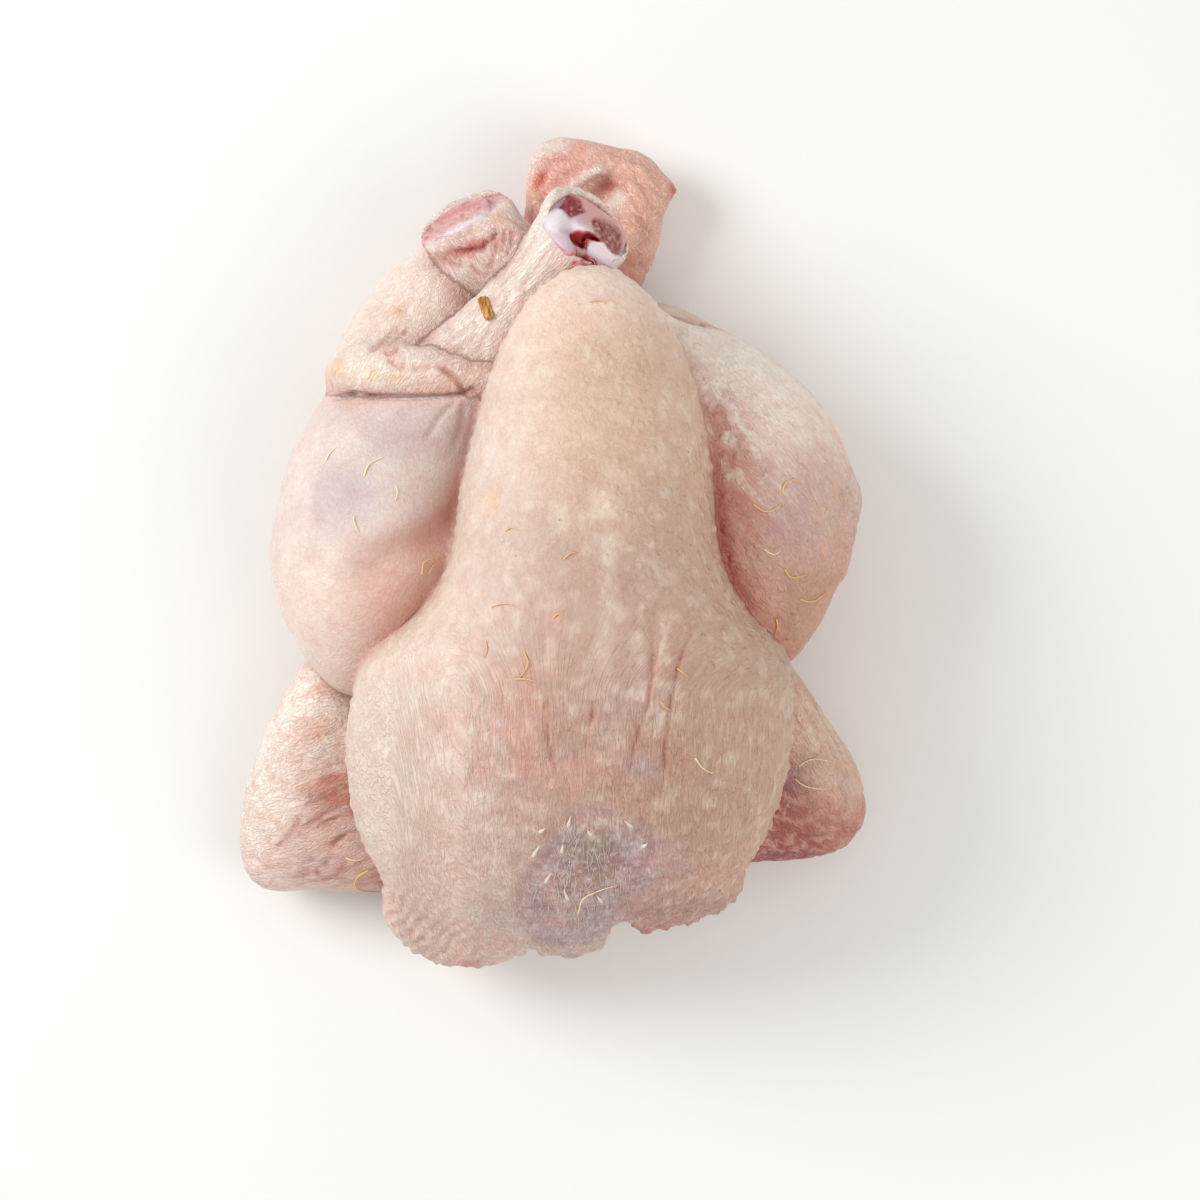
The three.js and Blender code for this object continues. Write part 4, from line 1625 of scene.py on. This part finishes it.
# Outlines, lines with their widths, and spans of the picture.
MARROW_HOLLOWS = [
    [(561, 208), (565, 200), (569, 195), (577, 196), (583, 204), (583, 211), (577, 215), (570, 216)],
    [
        (593, 221), (601, 219), (613, 223), (622, 231), (623, 239),
        (620, 248), (619, 255), (611, 250), (603, 241), (596, 231),
    ],
]
LEFT_WHITE = [
    ([(551, 230), (556, 222), (563, 215)], 9),
    ([(562, 222), (580, 229), (592, 236), (601, 244)], 4),
    ([(590, 245), (602, 253), (616, 260), (622, 252)], 7),
]
LEFT_LILAC = [(562, 234), (566, 246), (570, 254)]
RIGHT_RED = [(437, 222), (452, 213), (482, 202)]
RIGHT_WHITE = [(428, 247), (443, 238), (460, 228), (489, 213), (505, 202)]
RAW_LOW = (252, 262)
RAW_MIDDLE = 590
LILAC_LEFT = (346, 374)
SPONGE_TOP = (198, 210)
# Heights above the cut between which the marrow begins.
MARROW_FRONT = (-3, -1.5)


def bone_block(leg):
    cut, knee = np.array(leg["cut"], float), np.array(leg["knee"], float)
    inner = cut - unit(cut - knee) * (BONE_DEPTH - SHAFT_END)
    low = np.minimum(cut - CUT_ROOM, inner - SHAFT_ROOM)
    return Block(low, np.maximum(cut + CUT_ROOM, inner + SHAFT_ROOM), BONE_STEP)


def bone_shaft(block, leg):
    """The shaft and the widened end of the leg bone, cut off just proud of the skin."""
    cut, knee = np.array(leg["cut"], float), np.array(leg["knee"], float)
    axis = unit(cut - knee)
    shaft = form(
        block,
        cut - axis * BONE_DEPTH,
        cut + axis * BONE_BEYOND,
        side=[4.2, 4.2, 5, 10, 9],
        top=[4.2, 4.2, 4.4, 5, 4.5],
        ends=5,
    )
    end = cut_plane(block, Hock(leg).at(0, 0, BONE_PROUD), leg["facing"])
    return soft_max(shaft, end, blend=1)


def walls(block, hollow, points):
    """1 on the walls of a hollow, fading out just beyond its rim."""
    return 1 - ramp(block.sample(hollow, points), 0.2, 0.9)


def left_bone():
    """Two marrow hollows in a bar of bone, a white knob and ridge beside them, and a dark pit."""
    block, hock = bone_block(LEFT_LEG), Hock(LEFT_LEG)
    plate = hock.plate(block, LEFT_LEG["socket"]["centre"], *LEFT_PLATE)
    bar = hock.rod(block, *LEFT_BAR, square=3)
    rods = [hock.rod(block, *rod) for rod in LEFT_RODS.values()]
    whole = joined([bone_shaft(block, LEFT_LEG), plate, bar, *rods], BONE_BLEND)
    pit = joined([hock.rod(block, *rod) for rod in LEFT_PITS], FACE_BLEND)
    lump = hock.rod(block, *LEFT_LUMP)
    points, faces = mesh_round(block, joined([soft_max(whole, -pit, PIT_BLEND), lump], FACE_BLEND))
    bone = Surface(points, BONE_PINK)
    front = ramp((points - hock.centre) @ hock.out, *MARROW_FRONT)
    rough = bone.place + 2.5 * np.stack([noise(points, 2.5, 81), noise(points, 2.5, 82)], -1)
    hollows = [front * patch(rough, outline, 5) for outline in MARROW_HOLLOWS]
    x, y = bone.place.T
    raw = ramp(y - 0.4 * (x - RAW_MIDDLE), *RAW_LOW)
    marrow = np.maximum(*hollows)
    relief = 0.2 * noise(points, 4, 61) - marrow * (0.5 + 0.4 * noise(points, 0.9, 72))
    relief += 0.6 * (raw + walls(block, pit, points)) * noise(points, 2.2, 73)
    bone.points += relief[:, None] * hock.out
    left_bone_tint(bone, hollows, raw, walls(block, pit, points), walls(block, lump, points))
    goose = 0.15 + 0.85 * marrow
    return mesh_piece("left_hock", points, faces, bone_material(), tint=bone.tint, goose=goose)


def left_bone_tint(bone, hollows, raw, pit, lump):
    x, y = bone.place.T
    first, second = hollows
    bone.lay(BONE_LILAC, 1 - ramp(x - y, *LILAC_LEFT))
    bone.lay(RAW_FLESH, raw)
    bone.lay(PIT, 0.5 * raw * bone.clouds(2, 77, 0.0, 0.4))
    for line, width in LEFT_WHITE:
        bone.lay(CARTILAGE, 1.3 * bone.stroke(line, width, 0.02))
    bone.lay(BONE_LILAC, 0.8 * bone.stroke(LEFT_LILAC, 5))
    bone.lay(RAW_RED, pit)
    bone.lay(PIT, pit * bone.clouds(2, 78, -0.4, 0.2))
    bone.lay(BONE_PINK, lump)
    bone.lay(MARROW, first)
    bone.lay(SPONGE, 0.6 * first * bone.clouds(0.9, 66, 0.0, 0.6) * bone.down(SPONGE_TOP))
    bone.lay(MARROW_GREY, second)
    bone.lay(PIT, 0.8 * np.maximum(first, second) * bone.clouds(0.8, 63, 0.1, 0.5))
    bone.lay(SPONGE, 0.6 * second * bone.clouds(0.8, 67, 0.1, 0.5))


def right_bone():
    """A long oval of pink spongy bone with a thin white line of cartilage along its lower edge."""
    block, hock = bone_block(RIGHT_LEG), Hock(RIGHT_LEG)
    plate = hock.plate(block, RIGHT_LEG["socket"]["centre"], *RIGHT_PLATE)
    rods = [hock.rod(block, *rod) for rod in RIGHT_RODS.values()]
    whole = joined([bone_shaft(block, RIGHT_LEG), plate, *rods], BONE_BLEND)
    points, faces = mesh_round(block, whole)
    bone = Surface(points, SPONGE)
    bone.points += 0.3 * noise(points, 3.5, 64)[:, None] * hock.out
    bone.lay(BONE_EDGE, 0.4 * bone.clouds(5, 68))
    bone.lay(MARROW, 0.4 * bone.clouds(1.6, 65, 0.1, 0.6))
    bone.lay(RED, 0.6 * bone.stroke(RIGHT_RED, 2.5, 0.1))
    bone.lay(CARTILAGE, 0.95 * bone.stroke(RIGHT_WHITE, 4, 0.02))
    goose = np.full(len(points), 0.6)
    return mesh_piece("right_hock", points, faces, bone_material(), tint=bone.tint, goose=goose)


# ---- Hairs, feather stubs and the quill --------------------------------------

GOLD = (238, 194, 128)
PALE_GOLD = (250, 230, 190)
ORANGE = (234, 184, 138)
FEATHER_WHITE = (228, 214, 200)
DOWN_WHITE = (212, 201, 194)
PORE_BROWN = (178, 134, 102)

# Hairs: tone, radius in millimetres, and line in the picture.
HAIRS = [
    (PALE_GOLD, 0.26, [(326, 461), (331, 453), (337, 447)]),
    (PALE_GOLD, 0.3, [(364, 476), (370, 464), (384, 457)]),
    (PALE_GOLD, 0.26, [(396, 486), (397, 493), (395, 501)]),
    (PALE_GOLD, 0.3, [(354, 516), (355, 523), (359, 532)]),
    (GOLD, 0.3, [(422, 575), (423, 563), (433, 558), (445, 556)]),
    (GOLD, 0.26, [(428, 574), (432, 566), (440, 560)]),
    (GOLD, 0.3, [(369, 870), (357, 877), (355, 886), (366, 891), (380, 892)]),
    (PALE_GOLD, 0.28, [(346, 858), (355, 860), (364, 858)]),
    (GOLD, 0.3, [(753, 504), (763, 511), (773, 510), (782, 504)]),
    (GOLD, 0.28, [(782, 492), (786, 483), (795, 480), (805, 485)]),
    (GOLD, 0.3, [(784, 569), (791, 577), (806, 575)]),
    (GOLD, 0.28, [(800, 599), (812, 601), (826, 592)]),
    (GOLD, 0.3, [(776, 619), (777, 627), (774, 636)]),
    (PALE_GOLD, 0.26, [(764, 549), (773, 554), (780, 551)]),
    (PALE_GOLD, 0.24, [(799, 766), (806, 761), (816, 759), (831, 762)]),
    (PALE_GOLD, 0.24, [(795, 779), (804, 785), (815, 788), (827, 789)]),
    (PALE_GOLD, 0.26, [(578, 913), (583, 898), (597, 891), (617, 885)]),
    (PALE_GOLD, 0.26, [(695, 758), (702, 768), (713, 773)]),
    (ORANGE, 0.3, [(524, 652), (528, 664), (519, 679)]),
    (ORANGE, 0.3, [(515, 679), (526, 679), (537, 682)]),
    (ORANGE, 0.3, [(677, 668), (683, 673), (689, 679)]),
    (ORANGE, 0.3, [(660, 701), (665, 708), (672, 711)]),
    (ORANGE, 0.26, [(506, 531), (512, 528), (520, 530)]),
    (ORANGE, 0.26, [(492, 607), (503, 604), (514, 605)]),
    (ORANGE, 0.26, [(553, 618), (558, 614), (563, 615)]),
    (ORANGE, 0.26, [(564, 559), (570, 554), (578, 552)]),
    (ORANGE, 0.24, [(486, 640), (487, 650), (484, 658)]),
    (ORANGE, 0.24, [(396, 309), (399, 311), (402, 310)]),
    (ORANGE, 0.26, [(590, 302), (600, 301), (606, 303)]),
]
PORES = [
    (688, 452), (694, 473), (684, 496), (667, 532), (690, 545), (665, 500), (659, 555),
    (516, 556), (560, 520),
]

# How far off the skin a hair lies at its ends and how much farther in its middle, in radii, and
# how much thinner its tip is.
HAIR_LIFT = 0.3
HAIR_BOW = 1.4
HAIR_TAPER = 0.6

# How far off the skin the root and the tip of a feather stub are, how far it bows up, and its radii.
STUB_LIFTS = (-0.35, 0.6)
STUB_BOW = 0.5
STUB_RADII = [0.4, 0.56, 0.5, 0.34, 0.2, 0.06]

# How far off the skin the points of a pore's short rod are, and its radii.
PORE_HEIGHTS = [-0.3, 0, 0.05]
PORE_RADII = [0.32, 0.32, 0.2]

# Fine threads of down: the middle and reach of where they lie in the picture, how many, the
# seed of their draw, and the lowest height in millimetres at which one may end.
DOWN_MIDDLE = (580, 888)
DOWN_REACH = (46, 56)
DOWN_THREADS = 100
DOWN_SEED = 90
DOWN_LOWEST = 18
# How closely they keep to the middle, half their length, how much they lean and how far they bow, in
# pixels of the picture, and their radius in millimetres.
DOWN_SPREAD = 0.5
DOWN_HALF = (5, 14)
DOWN_LEAN = 0.3
DOWN_BOW = 2
DOWN_RADIUS = (0.09, 0.14)


def tube(path, radii, sides=6):
    """A round rod along a path, with a radius at each point of it."""
    path = np.asarray(path, float)
    axis = np.gradient(path, axis=0)
    axis /= np.linalg.norm(axis, axis=1)[:, None]
    across = np.cross(axis, (0.3, 0.2, 1))
    across /= np.linalg.norm(across, axis=1)[:, None]
    rise = np.cross(across, axis)
    turn = np.linspace(0, 2 * math.pi, sides, endpoint=False)
    rings = [
        point + radius * (np.cos(turn)[:, None] * u + np.sin(turn)[:, None] * v)
        for point, radius, u, v in zip(path, radii, across, rise)
    ]
    faces = []
    for ring in range(len(path) - 1):
        for k in range(sides):
            a, b = ring * sides + k, ring * sides + (k + 1) % sides
            faces.append((b, a, a + sides, b + sides))
    last = (len(path) - 1) * sides
    faces.append(tuple(range(sides)))
    faces.append(tuple(last + sides - 1 - k for k in range(sides)))
    return np.vstack(rings), faces

class Threads:
    """Rods of several tones that make one piece."""

    def __init__(self, skin_points, skin_faces):
        self.tree = BVHTree.FromPolygons(skin_points.tolist(), skin_faces.tolist())
        self.points = []
        self.faces = []
        self.tints = []
        self.count = 0

    def on_skin(self, place, lift):
        """The point of the skin that shows at a place of the picture, raised off it."""
        eye, ground = sight(place)
        hit, normal, _, _ = self.tree.ray_cast(Vector(eye), Vector(unit(ground - eye)))
        return ground if hit is None else np.array(hit + normal * lift)

    def add(self, path, radii, tone):
        points, faces = tube(path, radii)
        self.points.append(points)
        self.faces += [tuple(self.count + k for k in face) for face in faces]
        self.tints.append(linear(tone) * np.ones((len(points), 3)))
        self.count += len(points)

    def hair(self, tone, radius, places):
        t = np.linspace(0, 1, 5 * len(places))
        lifts = radius * (HAIR_LIFT + HAIR_BOW * np.sin(math.pi * t))
        path = [self.on_skin(place, lift) for place, lift in zip(smooth_curve(places, t), lifts)]
        self.add(path, radius * (1 - HAIR_TAPER * t), tone)

    def stub(self, root, tip):
        start, end = (self.on_skin(place, lift) for place, lift in zip((root, tip), STUB_LIFTS))
        t = np.linspace(0, 1, len(STUB_RADII))
        path = [start + s * (end - start) + (0, 0, STUB_BOW * math.sin(math.pi * s)) for s in t]
        self.add(path, STUB_RADII, FEATHER_WHITE)

    def down(self, centre, reach, count):
        """Fine white threads of down that lie in the skin, all about one way, round a place."""
        draw = np.random.default_rng(DOWN_SEED)
        for _ in range(count):
            middle = centre + draw.normal(0, DOWN_SPREAD, 2) * reach
            half = draw.uniform(*DOWN_HALF) * np.array((draw.normal(0, DOWN_LEAN), 1.0))
            bow = middle + (draw.normal(0, DOWN_BOW), 0)
            ends = [self.on_skin(middle + half, 0), self.on_skin(middle - half, 0)]
            if min(end[2] for end in ends) > DOWN_LOWEST:
                self.hair(DOWN_WHITE, draw.uniform(*DOWN_RADIUS), [middle - half, bow, middle + half])

    def pore(self, place):
        centre = self.on_skin(place, 0)
        self.add([centre + (0, 0, height) for height in PORE_HEIGHTS], PORE_RADII, PORE_BROWN)

    def piece(self):
        m = Shader("hair_and_feather")
        m.surface(Base_Color=m.layer("tint", "Color"), Roughness=0.4)
        points, tint = np.vstack(self.points), np.vstack(self.tints)
        return mesh_piece("hairs", points, self.faces, m.material, tint=tint)

def make_hairs(skin_points, skin_faces):
    threads = Threads(skin_points, skin_faces)
    for tone, radius, places in HAIRS:
        threads.hair(tone, radius, places)
    for root, tip in STUBS:
        threads.stub(root, tip)
    for place in PORES:
        threads.pore(place)
    threads.down(DOWN_MIDDLE, DOWN_REACH, DOWN_THREADS)
    return threads.piece()


# The quill, in millimetres: its block of cells, and both ends of its shaft and of the split along it.
QUILL_BLOCK = ((-26, 62, 60), (-13, 80, 78), 0.3)
QUILL_SHAFT = ((-21.1, 75, 66), (-18.6, 68.6, 70))
QUILL_SPLIT = ((-20.2, 75.4, 67.6), (-17.6, 68.4, 71.6))
QUILL_DARK = (150, 92, 30)
QUILL_LIGHT = (222, 172, 96)


def quill_material():
    m = Shader("quill")
    drawn = {"Vector": m.place(), "Rotation": (0, 0, 0.3), "Scale": (1400, 260, 260)}
    grain = m.noise(m.node("ShaderNodeMapping", drawn).outputs[0], scale=1.0, detail=3.0)
    tone = m.toned(grain, (0.35, 0.65), linear(QUILL_DARK), linear(QUILL_LIGHT))
    normal = m.bump(grain, strength=0.5, distance=0.0004)
    m.surface(Base_Color=tone, Roughness=0.35, Normal=normal)
    return m.material


def make_quill():
    """The broken end of one feather, left standing in the skin of the shank."""
    block = Block(*QUILL_BLOCK)
    shaft = form(block, *QUILL_SHAFT, side=1.6, top=1.1, ends=7, section=3)
    split = form(block, *QUILL_SPLIT, side=0.5, top=0.9, ends=6)
    points, faces = mesh_round(block, soft_max(shaft, -split, blend=0.3))
    return mesh_piece("quill", points, faces, quill_material())


# ---- Table, light and camera -------------------------------------------------

TABLE_TONE = (238, 237, 234)
TABLE_SIZE = 6
WORLD_STRENGTH = 0.62
LIGHT_AIM = (0, 0, 0.04)
FILL_TONE = (1, 0.96, 0.91)
SENSOR_WIDTH = 36


def make_table():
    bpy.ops.mesh.primitive_plane_add(size=TABLE_SIZE, location=(0, 0, 0))
    table = bpy.context.object
    table.name = "table"
    m = Shader("pale_table")
    m.surface(Base_Color=(*linear(TABLE_TONE), 1.0), Roughness=0.6)
    table.data.materials.append(m.material)


def area_light(name, place, size, power, tone=(1, 1, 1)):
    data = bpy.data.lights.new(name, "AREA")
    data.shape, data.size, data.energy, data.color = "DISK", size, power, tone
    light = bpy.data.objects.new(name, data)
    light.location = place
    light.rotation_euler = (Vector(LIGHT_AIM) - Vector(place)).to_track_quat("-Z", "Y").to_euler()
    bpy.context.collection.objects.link(light)


def make_lights():
    world = bpy.data.worlds.new("studio")
    world.use_nodes = True
    background = world.node_tree.nodes["Background"]
    background.inputs["Color"].default_value = (1, 1, 1, 1)
    background.inputs["Strength"].default_value = WORLD_STRENGTH
    bpy.context.scene.world = world
    area_light("key", place=(-1.1, 0.45, 0.95), size=0.8, power=14)
    area_light("fill", place=(0.9, -0.5, 1.1), size=1.2, power=7, tone=FILL_TONE)


def make_camera():
    data = bpy.data.cameras.new("camera")
    data.sensor_width = SENSOR_WIDTH
    data.lens = data.sensor_width * CAMERA_HEIGHT / (GROUND_MM_PER_PIXEL * PHOTO_WIDTH)
    data.clip_start, data.clip_end = 0.05, 20
    camera = bpy.data.objects.new("camera", data)
    camera.location = (VIEW_X * MM, VIEW_Y * MM, CAMERA_HEIGHT * MM)
    bpy.context.collection.objects.link(camera)
    bpy.context.scene.camera = camera


bpy.context.scene.view_settings.view_transform = "Standard"
make_camera()
make_table()
make_lights()
skin, skin_points, skin_faces = make_skin()
make_hairs(skin_points, skin_faces)
make_quill()
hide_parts("chicken")
for piece, node in ((left_bone(), "left_hock_bone"), (right_bone(), "right_hock_bone")):
    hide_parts(node)
